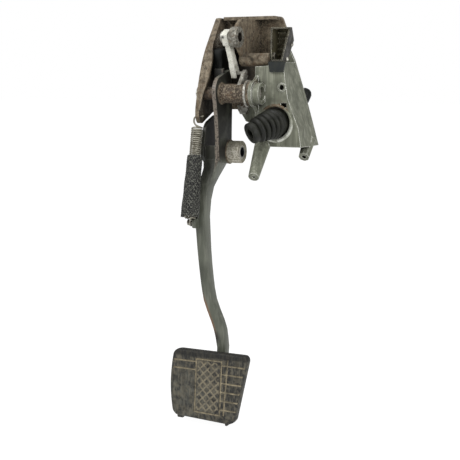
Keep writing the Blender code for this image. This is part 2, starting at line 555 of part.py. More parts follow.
def trip_lever():
    """Cast lever on its shaft, with an open fork round the pedal's pin."""
    axis_y, axis_z = LEVER_AXIS
    pin_y, pin_z = TRIP_PIN
    reach = Vector((pin_y - axis_y, pin_z - axis_z))
    along, length = reach.normalized(), reach.length
    across = Vector((-along.y, along.x))

    def place(distance, offset):
        return (axis_y + along.x * distance + across.x * offset, axis_z + along.y * distance + across.y * offset)

    block = rounded([place(-0.0075, -0.0072), place(-0.0075, 0.0072), place(0.0085, 0.0072), place(0.0085, -0.0072)], 0.003)
    lever = prism_x("trip_lever", block, LEVER_LEFT, LEVER_LEFT + LEVER_WIDTH, PALE_ALUMINIUM)
    half_slot = TRIP_PIN_RADIUS + FORK_CLEARANCE
    prong = 0.0026
    arm_outline = [place(0.002, -0.0048), place(0.002, 0.0048), place(length - 0.016, 0.0046), place(length - 0.011, half_slot + prong),
                   place(length + 0.0035, half_slot + prong), place(length + 0.0035, half_slot), place(length - 0.0100, half_slot),
                   place(length - 0.0112, 0.0), place(length - 0.0100, -half_slot), place(length + 0.0035, -half_slot),
                   place(length + 0.0035, -half_slot - prong), place(length - 0.011, -half_slot - prong), place(length - 0.016, -0.0046)]
    arm = prism_x("lever_arm", arm_outline, LEVER_LEFT + 0.001, LEVER_LEFT + LEVER_WIDTH - 0.0005)
    weld(lever, arm)
    cut(lever, rod("lever_bore", at(LEVER_LEFT - 0.002, axis_y, axis_z), at(LEVER_LEFT + LEVER_WIDTH + 0.002, axis_y, axis_z),
                   LEVER_SHAFT_RADIUS + GAP))
    shaft = rod("lever_shaft", at(LEVER_LEFT - 0.0018, axis_y, axis_z), at(SHAFT_BOSS_END - 0.006, axis_y, axis_z),
                LEVER_SHAFT_RADIUS, ZINC_STEEL)
    head = rod("shaft_head", at(LEVER_LEFT - 0.0022, axis_y, axis_z), at(LEVER_LEFT - GAP, axis_y, axis_z), 0.0068)
    weld(shaft, head)


def pad_point(x, z, out):
    """A place on the pad: x across, z up the pad and out of its front face."""
    centre = at(*PAD_CENTRE)
    up = Vector((0, math.sin(PAD_TILT), math.cos(PAD_TILT)))
    front = Vector((0, -math.cos(PAD_TILT), math.sin(PAD_TILT)))
    return centre + Vector((x, 0, 0)) + up * z + front * out


PAD_OUTLINE = [(-0.0495, 0.0400), (-0.0530, 0.0020), (-0.0475, -0.0395), (0.0305, -0.0425), (0.0450, 0.0350), (0.0415, 0.0388)]
PAD_CORNERS = [0.006, 0.030, 0.009, 0.010, 0.006, 0.003]


def pad_slab(name, scale, low, high, material=None):
    outline = rounded([(x * scale, z * scale) for x, z in PAD_OUTLINE], PAD_CORNERS)
    return loft(name, [[pad_point(x, z, out) for x, z in outline] for out in (low, high)], material)


def pad_box(name, low_x, high_x, low_z, high_z, low, high):
    corners = [(low_x, low_z), (high_x, low_z), (high_x, high_z), (low_x, high_z)]
    return loft(name, [[pad_point(x, z, out) for x, z in corners] for out in (low, high)])


def pad_group():
    """Steel plate on the arm and the moulded rubber that is stretched over it."""
    pad_slab("pad_plate", 0.93, -PAD_RUBBER - PAD_PLATE, -PAD_RUBBER - GAP, BLACK_STEEL)
    outline = rounded(PAD_OUTLINE, PAD_CORNERS)
    layers = [(-PAD_RUBBER, 0.985), (-PAD_RUBBER + 0.0025, 1.0), (-0.004, 0.995), (-0.0012, 0.975), (0.0, 0.94)]
    sections = [[pad_point(x * s, z * s, out) for x, z in outline] for out, s in layers]
    pad = loft("pedal_pad", sections, PAD_RUBBER_FINISH)
    pieces = []
    for row in range(6):
        z = 0.0256 - row * GROOVE_PITCH
        pieces.append(pad_box(f"groove_right_{row}", 0.0215, 0.0375 - 0.0013 * row, z, z + GROOVE_WIDTH,
                              -GROOVE_DEPTH, 0.002))
    for row, z in enumerate((0.0266, 0.0172)):
        pieces.append(pad_box(f"groove_left_{row}", -0.0450, -0.0240, z, z + GROOVE_WIDTH, -GROOVE_DEPTH, 0.002))
    pieces.append(pad_box("groove_upright", 0.0165, 0.0185, -0.036, 0.034, -GROOVE_DEPTH, 0.002))
    cut(pad, *pieces)
    for label, low_x, high_x, low_z in [("left", -0.0450, -0.0370, -0.0440), ("right", 0.0172, 0.0208, -0.0462)]:
        weld(pad, pad_box(f"pad_hook_{label}", low_x, high_x, low_z, -0.036, -PAD_RUBBER + 0.0004,
                          -PAD_RUBBER + 0.004))


def spring_line(t):
    return Vector(at(*SPRING_TOP)).lerp(Vector(at(*SLEEVE_BOTTOM)), t)


def wire(name, points, radius, material, sides=6):
    """A round wire along a row of points, its section carried without twist."""
    points = [Vector(p) for p in points]
    tangents = [(points[min(i + 1, len(points) - 1)] - points[max(i - 1, 0)]).normalized() for i in range(len(points))]
    side = basis(tangents[0])[0]
    sections = []
    for point, tangent in zip(points, tangents):
        side = (side - tangent * side.dot(tangent)).normalized()
        other = tangent.cross(side)
        sections.append([point + radius * (math.cos(a) * side + math.sin(a) * other)
                         for a in [2 * math.pi * k / sides for k in range(sides)]])
    return loft(name, sections, material)


def return_spring():
    """Close-wound spring: hook through the hanger's leg, coil, and a long leg with a loop round the peg."""
    axis = (spring_line(1.0) - spring_line(0.0)).normalized()
    across = Vector((1, 0, 0))
    across = (across - axis * across.dot(axis)).normalized()
    other = axis.cross(across)
    hole_y, hole_z = SPRING_HOLE
    start = spring_line(0.0)
    hook = [at(SIDE_INNER_X + 0.0040, hole_y, hole_z), at(SIDE_INNER_X + 0.0015, hole_y, hole_z),
            at(SIDE_OUTER_X - 0.0005, hole_y, hole_z), at(SIDE_OUTER_X - 0.0024, hole_y - 0.0006, hole_z - 0.0012),
            at(SIDE_OUTER_X - 0.0030, hole_y - 0.0013, hole_z - 0.0045),
            at(SIDE_OUTER_X - 0.0024, hole_y - 0.0020, hole_z - 0.0080),
            at(SIDE_OUTER_X + 0.0004, hole_y - 0.0024, hole_z - 0.0104),
            start + across * SPRING_RADIUS * 0.35 - axis * 0.0018]
    steps = 8
    turns = int((spring_line(1.0) - start).length / SPRING_PITCH)
    coil = []
    for k in range(turns * steps + 1):
        a = 2 * math.pi * k / steps
        coil.append(start + axis * (SPRING_PITCH * k / steps) + SPRING_RADIUS * (math.cos(a) * across + math.sin(a) * other))
    coil_end = start + axis * SPRING_PITCH * turns
    peg_y, peg_z = PEG
    loop_radius = PEG_RADIUS + WIRE_RADIUS + GAP * 1.5
    loop_x = PEG_X
    loop_centre = at(loop_x, peg_y, peg_z)
    entry = loop_centre + Vector((0, -loop_radius, 0))
    leg = [coil_end.lerp(entry, 0.45)]
    loop = []
    for k in range(13):
        a = math.radians(180 + 25 * k)
        loop.append(loop_centre + Vector((0.0, loop_radius * math.cos(a), loop_radius * math.sin(a))))
    wire("return_spring", hook + coil + leg + loop, WIRE_RADIUS, SPRING_STEEL, sides=4)


def braided_sleeve():
    start, end = spring_line(SLEEVE_START), spring_line(1.0)
    length = (end - start).length
    profile = [(0, SLEEVE_TOP_RADIUS - SLEEVE_WALL), (0, SLEEVE_TOP_RADIUS), (length * 0.5, (SLEEVE_TOP_RADIUS + SLEEVE_END_RADIUS) / 2),
               (length, SLEEVE_END_RADIUS), (length, SLEEVE_END_RADIUS - SLEEVE_WALL),
               (length * 0.5, (SLEEVE_TOP_RADIUS + SLEEVE_END_RADIUS) / 2 - SLEEVE_WALL)]
    turned("braided_sleeve", start, end - start, profile, BRAID, steps=24)


def spring_peg():
    """Headed peg on the left of the arm's spring ear."""
    y, z = PEG
    peg = rod("spring_peg", at(PEG_EAR_RIGHT - PEG_EAR_SHEET - GAP, y, z), at(PEG_X - 0.0030, y, z), PEG_RADIUS, ZINC_STEEL, steps=16)
    weld(peg, rod("peg_head", at(PEG_X - 0.0036, y, z), at(PEG_X - 0.0020, y, z), PEG_RADIUS + 0.0014, steps=16))


def bump_stop():
    """Moulded rubber block that the pedal's tab rests on."""
    corners = [(STOP_LEFT, STOP_LOW), (STOP_RIGHT, STOP_LOW), (STOP_RIGHT, STOP_HIGH), (STOP_LEFT, STOP_HIGH)]
    outline = rounded(corners, STOP_CORNER, 6)
    middle_x, middle_z = (STOP_LEFT + STOP_RIGHT) / 2, (STOP_LOW + STOP_HIGH) / 2
    front = STOP_TAB_BACK + GAP
    layers = [(front, 0.62), (front + 0.0015, 0.84), (front + 0.005, 0.97), (front + 0.010, 1.0), (HANGER_FRONT - GAP, 1.0)]
    sections = [[at(middle_x + (x - middle_x) * s, y, middle_z + (z - middle_z) * s) for x, z in outline] for y, s in layers]
    loft("bump_stop", sections, BLACK_RUBBER)


def master_cylinder():
    """Cylinder body through the casting, with its piston, ports and clip."""
    front = FACE_FRONT + CAST_WALL + GAP
    length = CYLINDER_BACK - front
    outer = [(0, CYLINDER_FLANGE_RADIUS), (0.003, CYLINDER_FLANGE_RADIUS), (0.003, CYLINDER_RADIUS),
             (length - 0.003, CYLINDER_RADIUS), (length, CYLINDER_RADIUS - 0.004)]
    body = loft("master_cylinder", [circle(at(CYLINDER_X, front + along, CYLINDER_Z), (0, 1, 0), radius, 32) for along, radius in outer],
                BLACK_STEEL)
    cut(body, rod("cylinder_bore", at(CYLINDER_X, front - 0.004, CYLINDER_Z), at(CYLINDER_X, CYLINDER_BACK - 0.010, CYLINDER_Z), BORE_RADIUS))
    clip_front = front + 0.0015
    ring("piston_clip", at(CYLINDER_X, clip_front, CYLINDER_Z), at(CYLINDER_X, clip_front + 0.0014, CYLINDER_Z),
         BORE_RADIUS - GAP, BORE_RADIUS - 0.0026, ZINC_STEEL)
    piston_front = clip_front + 0.0014 + GAP
    land, neck = BORE_RADIUS - GAP, BORE_RADIUS - 0.002
    profile = [(0.0, land), (0.3, land), (0.3, neck), (0.75, neck), (0.75, land), (1.0, land)]
    forward = Vector((0, 1, 0))
    rings = [circle(at(CYLINDER_X, piston_front + PISTON_LENGTH * share, CYLINDER_Z), forward, radius, 24)
             for share, radius in profile]
    piston = loft("piston", rings, ZINC_STEEL)
    cut(piston, rod("piston_cup", at(CYLINDER_X, piston_front - 0.002, CYLINDER_Z), at(CYLINDER_X, piston_front + 0.007, CYLINDER_Z), 0.004, end_radius=0.002))
    port_profile = [(0.0, 0.0050), (0.011, 0.0050), (0.012, 0.0078), (0.021, 0.0078), (0.0245, 0.0060), (0.0265, 0.0030)]
    up = Vector((math.sin(PORT_LEAN), 0, math.cos(PORT_LEAN)))
    port_foot = Vector(at(CYLINDER_X, PORT_Y, CYLINDER_Z)) + up * (CYLINDER_RADIUS + GAP * 2)
    loft("inlet_port", [circle(port_foot + up * along, up, radius, 24) for along, radius in port_profile], BLACK_RUBBER)
    fitting_start = CYLINDER_BACK + GAP
    fitting = hexagon("outlet_fitting", at(CYLINDER_X, fitting_start, CYLINDER_Z), at(CYLINDER_X, fitting_start + 0.007, CYLINDER_Z), 0.0075, BRONZE)
    weld(fitting, rod("outlet_nose", at(CYLINDER_X, fitting_start + 0.005, CYLINDER_Z), at(CYLINDER_X, fitting_start + 0.013, CYLINDER_Z), 0.0045))


def boot():
    """Rubber bellows that droops from the casting's opening, open at its empty tip."""
    start = Vector(at(CYLINDER_X, FACE_FRONT + CAST_WALL - 0.0002, CYLINDER_Z))
    end = Vector(at(*BOOT_END))
    bend = Vector(at(CYLINDER_X, FACE_FRONT - 0.0165, CYLINDER_Z))

    def station(t):
        return start * (1 - t) ** 2 + bend * 2 * t * (1 - t) + end * t ** 2

    def heading(t):
        return ((bend - start) * (1 - t) + (end - bend) * t).normalized()

    neck = OPENING_RADIUS - 0.0022
    outer = [(0.0, neck), (0.13, neck)]
    first, last = 0.24, 0.84
    for fold in range(BOOT_FOLDS):
        begin = first + (last - first) * fold / BOOT_FOLDS
        size = BOOT_BASE_RADIUS + (BOOT_TIP_RADIUS - BOOT_BASE_RADIUS) * fold / (BOOT_FOLDS - 1)
        step = (last - first) / BOOT_FOLDS
        outer += [(begin, size - 0.0036), (begin + step * 0.34, size - 0.0006), (begin + step * 0.5, size), (begin + step * 0.66, size - 0.0006)]
    outer += [(last, BOOT_TIP_RADIUS - 0.0040), (0.87, 0.0120), (0.97, 0.0120), (1.0, 0.0108)]
    inner = [(1.0, 0.0055), (0.88, 0.0055)]
    inner += [(t, radius - BOOT_WALL - 0.0004) for t, radius in reversed(outer[:-4])]
    loops = [circle(station(t), heading(t), radius, 28) for t, radius in outer + inner]
    loft("boot", loops, BLACK_RUBBER, closed=True)


def guard_level(height):
    """The guard's left face, right face, right depth and back's right end at a height."""
    for low, high in zip(GUARD_LEVELS, GUARD_LEVELS[1:]):
        if height <= high[0]:
            share = (height - low[0]) / (high[0] - low[0])
            return [a + (b - a) * share for a, b in zip(low[1:], high[1:])]


def guard_plan(height, front, inset):
    """The guard's outline seen from above at a height, drawn in by an inset."""
    left, right, depth, back_right = guard_level(height)
    slant = Vector((back_right - right, GUARD_BACK - depth)).normalized()
    start = Vector((right, depth)) + Vector((-slant.y, slant.x)) * inset
    side, back = right - inset, GUARD_BACK - inset
    corner = start + slant * ((side - start.x) / slant.x)
    end = start + slant * ((back - start.y) / slant.y)
    points = [(left + inset, front), (side, front), tuple(corner), tuple(end), (left + inset, back)]
    return [at(x, y, height) for x, y in points]


def switch_guard():
    """Folded guard, open to the driver, with the switch under its floor and two rivets in its right wall."""
    heights = [level[0] for level in GUARD_LEVELS]
    guard = loft("switch_guard", [guard_plan(z, GUARD_FRONT, 0.0) for z in heights], BLACK_STEEL)
    heights[0] += GUARD_SHEET
    heights[-1] -= GUARD_SHEET
    cut(guard, loft("guard_inside", [guard_plan(z, GUARD_FRONT - 0.004, GUARD_SHEET) for z in heights]),
        rod("guard_screw_hole", at(0.034, *GUARD_SCREW), at(0.042, *GUARD_SCREW), 0.0024, steps=12))
    ribs = []
    for k in range(5):
        z = GUARD_FLOOR + 0.007 + k * 0.0062
        end = guard_level(z)[3] - 0.003
        ribs.append(prism_y(f"guard_rib_{k}", [(0.0388, z), (end, z), (end, z + 0.0016), (0.0388, z + 0.0016)],
                            GUARD_BACK - GUARD_SHEET - 0.004, GUARD_BACK - 0.0006))
    weld(guard, *ribs)
    for label, z, y in [("upper", 0.0555, 0.0318), ("lower", 0.0392, 0.0278)]:
        seat = Vector(at(guard_level(z)[1], y, z))
        above = Vector(at(guard_level(z + 0.002)[1], y, z + 0.002))
        wall = (above - seat).normalized()
        normal = Vector((wall.z, 0, -wall.x))
        start = seat + normal * GAP
        sections = [circle(start + normal * out, normal, radius, 16)
                    for out, radius in [(0, 0.0024), (0.0008, 0.0022), (0.0015, 0.0013)]]
        loft(f"guard_rivet_{label}", sections, ZINC_STEEL)
    screw_y, screw_z = GUARD_SCREW
    start_x = 0.0378 + GUARD_SHEET + GAP
    screw = hexagon("guard_screw", at(start_x, screw_y, screw_z), at(start_x + 0.003, screw_y, screw_z), 0.0042, ZINC_STEEL)
    weld(screw, rod("guard_screw_shank", at(BAR_RIGHT + GAP, screw_y, screw_z), at(start_x + 0.001, screw_y, screw_z),
                    0.0018, steps=12))
    under = GUARD_FLOOR - GAP
    body = prism_y("switch_body", [(0.0412, 0.0252), (0.0492, 0.0252), (0.0494, under), (0.0412, under)],
                   FACE_FRONT - 0.0015, 0.032, BLUE_GREY_PLASTIC)
    weld(body, prism_y("switch_flange", rounded([(0.0386, under - 0.0001), (0.0405, 0.0242), (0.0568, 0.0242),
                                                (0.0592, under - 0.0001)], 0.001, 2), FACE_FRONT - 0.003, FACE_FRONT - GAP))


hanger_bracket()
cylinder_bracket()
joining_bolts()
pivot_group()
pedal_arm()
pushrod_eye()
trip_lug()
trip_lever()
pad_group()
return_spring()
braided_sleeve()
spring_peg()
bump_stop()
master_cylinder()
boot()
switch_guard()
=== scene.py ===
import json
import math
import random

import bmesh
import bpy
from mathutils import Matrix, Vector


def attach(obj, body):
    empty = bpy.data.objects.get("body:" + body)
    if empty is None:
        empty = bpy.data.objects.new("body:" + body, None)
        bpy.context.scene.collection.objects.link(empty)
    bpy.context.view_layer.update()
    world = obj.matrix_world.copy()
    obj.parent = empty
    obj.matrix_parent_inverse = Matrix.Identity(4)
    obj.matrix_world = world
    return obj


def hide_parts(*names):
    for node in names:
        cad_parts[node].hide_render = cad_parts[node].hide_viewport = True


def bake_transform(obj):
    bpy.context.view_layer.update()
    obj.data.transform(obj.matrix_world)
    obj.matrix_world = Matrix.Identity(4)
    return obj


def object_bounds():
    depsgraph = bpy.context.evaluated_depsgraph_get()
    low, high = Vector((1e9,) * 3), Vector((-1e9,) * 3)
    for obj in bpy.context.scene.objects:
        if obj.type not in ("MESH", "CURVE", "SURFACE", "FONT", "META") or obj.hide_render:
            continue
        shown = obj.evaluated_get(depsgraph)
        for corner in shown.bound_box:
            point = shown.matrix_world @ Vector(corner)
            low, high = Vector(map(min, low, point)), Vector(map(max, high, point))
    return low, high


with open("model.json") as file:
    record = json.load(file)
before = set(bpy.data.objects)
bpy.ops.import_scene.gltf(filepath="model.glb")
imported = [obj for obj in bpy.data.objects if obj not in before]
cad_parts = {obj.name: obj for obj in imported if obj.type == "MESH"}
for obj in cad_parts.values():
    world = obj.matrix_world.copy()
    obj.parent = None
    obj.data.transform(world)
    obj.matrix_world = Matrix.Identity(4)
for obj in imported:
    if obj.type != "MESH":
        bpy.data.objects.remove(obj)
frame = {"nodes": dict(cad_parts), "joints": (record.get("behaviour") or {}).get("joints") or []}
cad_low, cad_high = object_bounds()
nodes = frame["nodes"]
PIVOT = Vector(next(joint for joint in frame["joints"] if joint["name"] == "pedal_swing")["pos_m"])


# Hanger bracket. A pressed steel back plate with the side plate, gusset, boss, ear and stop bar welded on.
# It is bolted to the cab wall and carries the pivot bolt. Its thin brown primer has mostly turned to rust,
# so it is dull and blotched, with small pits and a few edges rubbed back to steel.
# Shade is painted dark into its corners, its shaft bore, the side plate's inner face and the back plate behind the
# lever; light is painted pale on its upper web, and its galled and scraped spots are painted lighter than bare steel.
RUST = "#5e5343"
RUST_DARK = "#352e23"
RUST_PALE = "#897d69"
RUST_RED = "#604c38"
# Grime colour, which also paints shade into corners, the shaft bore, the side plate's inner face and behind the lever.
GRIME_AND_SHADE = "#1f1b15"
RUBBED_STEEL = "#a39d92"
# Galled and scraped steel, painted lighter than bare steel as painted light where the spots lie in shade.
LIFTED_GALLED_STEEL = "#cbc6b9"
BOSS_PLATING, BOSS_SHINE, BOSS_WEAR = "#75736b", "#a5a398", "#4a463d"
RUST_BLOTCH = 0.009
BOSS_BLOTCH = 0.004
EDGE_ROUNDING = 0.0006
ROUND_LIMIT = math.radians(32)
# Real scale has grains of about 0.3 mm and pits of about 0.7 mm. Both are too fine for the render and are
# drawn three to four times as coarse.
RUST_GRAIN = 0.0012
PIT_SPACING = 0.0021
# Places on the bracket, each a point that is counted from the pivot and a radius.
GALLED_PATCH = (-0.038, 0.0385, 0.0600), 0.014
EAR_SCRAPE = (0.0200, 0.006, 0.017), 0.012
# The back plate behind the lever is painted dark as shade, and the upper web gets pale flecks as painted light.
BEHIND_LEVER = (-0.024, 0.060, 0.026), 0.040
UPPER_WEB = (0.005, 0.060, 0.068), 0.045
# Y and Z of the lever shaft's boss, counted from the pivot, its plated radius and the radius of its bore.
SHAFT_BOSS = (-0.008, 0.0634, 0.0117, 0.0054)
# Where masks begin and are full: the side plate's two faces in X, the back plate's front in Y, and in Z the
# height up to which the side plate's inner face is painted dark as shade.
SIDE_PLATE_OUTSIDE = (-0.0428, -0.0405)
SIDE_PLATE_INSIDE = (-0.030, -0.035)
BACK_PLATE_FRONT = (PIVOT.y + 0.0632, PIVOT.y + 0.0606)
SHADED_HEIGHT = (PIVOT.z + 0.062, PIVOT.z + 0.052)


def colour(text):
    """An sRGB hex colour as linear red, green, blue and alpha."""
    parts = [int(text[i:i + 2], 16) / 255 for i in (1, 3, 5)]
    return [c / 12.92 if c <= 0.04045 else ((c + 0.055) / 1.055) ** 2.4 for c in parts] + [1.0]


def put(tree, kind, inputs=None, **settings):
    """Add a node; each input is a value or another node's output."""
    made = tree.nodes.new(kind)
    for key, value in settings.items():
        setattr(made, key, value)
    for key, value in (inputs or {}).items():
        if isinstance(value, bpy.types.NodeSocket):
            tree.links.new(value, made.inputs[key])
        else:
            made.inputs[key].default_value = value
    return made


class Finish:
    """A material with softened edges and the masks through which wear, dirt and dust are laid over its colour."""

    def __init__(self, name, rounding=EDGE_ROUNDING, full_bend=0.80):
        self.material = bpy.data.materials.new(name)
        self.material.use_nodes = True
        self.tree = self.material.node_tree
        self.shader = self.tree.nodes["Principled BSDF"]
        self.place = put(self.tree, "ShaderNodeTexCoord").outputs["Object"]
        self.facing = put(self.tree, "ShaderNodeNewGeometry").outputs["Normal"]
        self.normal = put(self.tree, "ShaderNodeBevel", {"Radius": rounding}, samples=4).outputs["Normal"]
        bend = put(self.tree, "ShaderNodeVectorMath", {0: self.normal, 1: self.facing}, operation="DOT_PRODUCT")
        self.edges = self.fade(bend.outputs["Value"], 0.99, full_bend)

    def fade(self, value, none, full, axis=None):
        """A mask from nothing at one value to full at the other; of a place or direction, along this axis."""
        if axis:
            value = put(self.tree, "ShaderNodeSeparateXYZ", {"Vector": value}).outputs[axis]
        edge = put(self.tree, "ShaderNodeMapRange", {"Value": value, "From Min": none, "From Max": full})
        return edge.outputs["Result"]

    def overlap(self, *masks):
        """Where all these masks meet; a number among them weakens the whole."""
        result = masks[0]
        for mask in masks[1:]:
            result = put(self.tree, "ShaderNodeMath", {0: result, 1: mask}, operation="MULTIPLY").outputs[0]
        return result

    def patches(self, size, cover, blur=0.06, detail=4.0, comb=1.0, lean=0.0):
        """Blotches of about this size in metres over this share of the surface; comb under 1 draws them out
        along Z, lean turns them about X."""
        place = self.place
        if comb != 1.0:
            place = put(self.tree, "ShaderNodeMapping", {"Vector": place, "Rotation": (lean, 0.0, 0.0),
                                                         "Scale": (1.0, 1.0, comb)}).outputs["Vector"]
        cloud = put(self.tree, "ShaderNodeTexNoise", {"Vector": place, "Scale": 1 / size, "Detail": detail})
        # The noise keeps near 0.5, so a cut at 0.62 leaves almost none of it and one at 0.37 almost all.
        level = 0.62 - 0.25 * cover
        return self.fade(cloud.outputs["Fac"], level - blur, level + blur)

    def near(self, centre, radius):
        """A round spot about a point that is counted from the pivot, full within 0.4 of its radius."""
        reach = put(self.tree, "ShaderNodeVectorMath", {0: self.place, 1: PIVOT + Vector(centre)},
                    operation="DISTANCE")
        return self.fade(reach.outputs["Value"], radius, radius * 0.4)

    def off_axis(self, y, z):
        """Distance from a line along X; y and z are counted from the pivot."""
        reach = put(self.tree, "ShaderNodeVectorMath", {0: self.place, 1: PIVOT + Vector((0, y, z))},
                    operation="SUBTRACT")
        flat = put(self.tree, "ShaderNodeVectorMath", {0: reach.outputs["Vector"], 1: (0, 1, 1)},
                   operation="MULTIPLY")
        return put(self.tree, "ShaderNodeVectorMath", {0: flat.outputs["Vector"]}, operation="LENGTH").outputs["Value"]

    def creases(self, distance):
        """Inner corners, where dirt and dust gather; a darker colour laid on them is also painted shade."""
        open_share = put(self.tree, "ShaderNodeAmbientOcclusion", {"Distance": distance}, samples=6, only_local=True)
        return self.fade(open_share.outputs["AO"], 0.80, 0.35)

    def relief(self, height, depth):
        """Raise the surface by this many metres where the mask is full, on top of the relief it already has."""
        self.normal = put(self.tree, "ShaderNodeBump", {"Height": height, "Distance": depth,
                                                        "Normal": self.normal}).outputs["Normal"]

    def layered(self, base, layers):
        """A colour, or a number such as roughness, with others laid over it: each is a mask, the new value and,
        where it doesn't cover fully, its share."""
        of_colour = isinstance(base, str)
        # The mix node's sockets for what lies under, what comes over it, and the result.
        kind, under, over, out = ("RGBA", 6, 7, 2) if of_colour else ("FLOAT", 2, 3, 0)
        result = colour(base) if of_colour else base
        for mask, value, *share in layers:
            inputs = {0: self.overlap(mask, *share), under: result, over: colour(value) if of_colour else value}
            result = put(self.tree, "ShaderNodeMix", inputs, data_type=kind).outputs[out]
        return result

    def set(self, **sockets):
        """Set or link the shader's sockets and return the material."""
        for name, value in sockets.items():
            socket = self.shader.inputs[name.replace("_", " ")]
            if isinstance(value, bpy.types.NodeSocket):
                self.tree.links.new(value, socket)
            else:
                socket.default_value = value
        self.tree.links.new(self.normal, self.shader.inputs["Normal"])
        return self.material


def rusted_steel(name, base=RUST, pale_tone=RUST_PALE, rubbed_places=(), red=0.15, dark_cover=0.40, bosses=(),
                 painted_shade_places=(), painted_light_places=()):
    """Hot-rolled steel under worn primer. It looks dry and grainy: brown blotches, dark pits, streaks of pale dust,
    black grime with painted shade in the corners, and edges rubbed to metal. Listed places get painted shade and
    pale flecks of painted light, and rubbed spots are painted lighter than bare steel."""
    made = Finish(name)
    dark = made.patches(RUST_BLOTCH, dark_cover, 0.11)
    reddish = made.patches(RUST_BLOTCH * 0.7, red, 0.08)
    pale = made.patches(RUST_BLOTCH * 0.6, 0.30, 0.11)
    streaks = made.patches(RUST_GRAIN * 1.5, 0.35, 0.10, comb=0.10, lean=0.5)
    grain = made.patches(RUST_GRAIN, 0.45, 0.12)
    cells = put(made.tree, "ShaderNodeTexVoronoi", {"Vector": made.place, "Scale": 1 / PIT_SPACING, "Randomness": 1.0})
    pits = made.overlap(made.fade(cells.outputs["Distance"], 0.34, 0.16), made.patches(RUST_BLOTCH * 0.6, 0.55, 0.10))
    edge = made.overlap(made.edges, made.patches(RUST_BLOTCH * 0.25, 0.50, 0.05))
    # Inner corners are darkened by grime and by painted shade.
    crease_grime_and_shade = made.overlap(made.creases(0.010), made.patches(RUST_BLOTCH * 0.67, 0.9, 0.15))
    # Painted shade on the side plate's inner face, which faces right.
    side_plate_shade = made.overlap(made.fade(made.facing, 0.5, 0.8, "X"), made.fade(made.place, *SIDE_PLATE_INSIDE, "X"),
                                made.fade(made.place, *SHADED_HEIGHT, "Z"))
    within = made.overlap(made.fade(made.place, *BACK_PLATE_FRONT, "Y"),
                          made.fade(made.place, *SIDE_PLATE_OUTSIDE, "X"))
    layers = [(dark, RUST_DARK), (reddish, RUST_RED), (pale, pale_tone), (streaks, pale_tone, 0.5),
              (grain, RUST_DARK, 0.22), (pits, RUST_DARK, 0.8), (edge, RUBBED_STEEL), (crease_grime_and_shade, GRIME_AND_SHADE),
              (side_plate_shade, GRIME_AND_SHADE, 0.75)]
    rough = [(pale, 0.62), (edge, 0.38)]
    metal = [(edge, 0.8)]
    # Pale flecks painted as light: on the upper web, and as glints on the tube.
    for centre, radius in painted_light_places:
        lit_flecks = made.patches(RUST_GRAIN * 1.7, 0.35, 0.03)
        layers.append((made.overlap(made.near(centre, radius), lit_flecks), RUST_PALE, 0.8))
    # Painted shade on listed places, such as the back plate behind the lever.
    for centre, radius in painted_shade_places:
        layers.append((made.overlap(made.near(centre, radius), within), GRIME_AND_SHADE, 0.9))
    for y, z, outer, bore in bosses:
        reach = made.off_axis(y, z)
        plated = made.overlap(made.fade(reach, outer + 0.0004, outer - 0.0004), made.patches(BOSS_BLOTCH, 0.95, 0.12))
        shine = made.overlap(plated, made.patches(BOSS_BLOTCH * 0.5, 0.40, 0.05))
        wear = made.overlap(plated, made.patches(BOSS_BLOTCH * 0.7, 0.30, 0.05))
        # The bore is painted dark as shade.
        layers += [(plated, BOSS_PLATING), (shine, BOSS_SHINE), (wear, BOSS_WEAR),
                   (made.fade(reach, bore + 0.0003, bore), GRIME_AND_SHADE)]
        rough.append((plated, 0.5))
        metal.append((plated, 0.5))
    # Rubbed spots in the colour of galled steel, painted lighter as painted light.
    for centre, radius in rubbed_places:
        spot = made.overlap(made.near(centre, radius), made.patches(RUST_BLOTCH * 0.22, 0.50, 0.04), within)
        layers.append((spot, LIFTED_GALLED_STEEL))
        rough.append((spot, 0.38))
        metal.append((spot, 0.4))
    made.relief(grain, 0.00012)
    made.relief(pits, -0.00035)
    return made.set(Base_Color=made.layered(base, layers), Roughness=made.layered(0.78, rough),
                    Metallic=made.layered(0.1, metal))


def smooth_group():
    """Geometry nodes that shade round stretches smooth and keep corners over the limit sharp."""
    group = bpy.data.node_groups.new("smooth_round_stretches", "GeometryNodeTree")
    for way in ("INPUT", "OUTPUT"):
        group.interface.new_socket(name="Geometry", in_out=way, socket_type="NodeSocketGeometry")
    start = put(group, "NodeGroupInput").outputs[0]
    smooth = put(group, "GeometryNodeSetShadeSmooth", {"Geometry": start, "Shade Smooth": True}, domain="FACE")
    angle = put(group, "GeometryNodeInputMeshEdgeAngle").outputs["Unsigned Angle"]
    sharp = put(group, "FunctionNodeCompare", {0: angle, 1: ROUND_LIMIT}, operation="GREATER_THAN")
    kept = put(group, "GeometryNodeSetShadeSmooth", {"Geometry": smooth.outputs[0], "Selection": sharp.outputs[0],
                                                     "Shade Smooth": False}, domain="EDGE")
    put(group, "NodeGroupOutput", {0: kept.outputs[0]})
    return group


SMOOTH = smooth_group()


def dress(name, material):
    """Give a CAD node its finish and join its facets where they are round."""
    node = nodes[name]
    node.data.materials.clear()
    node.data.materials.append(material)
    weld = node.modifiers.new("join_facets", "WELD")
    weld.merge_threshold = 0.00001
    node.modifiers.new("smooth", "NODES").node_group = SMOOTH


dress("hanger_bracket", rusted_steel("rusted_hanger_steel", rubbed_places=[GALLED_PATCH, EAR_SCRAPE],
                                     bosses=[SHAFT_BOSS], painted_shade_places=[BEHIND_LEVER], painted_light_places=[UPPER_WEB]))


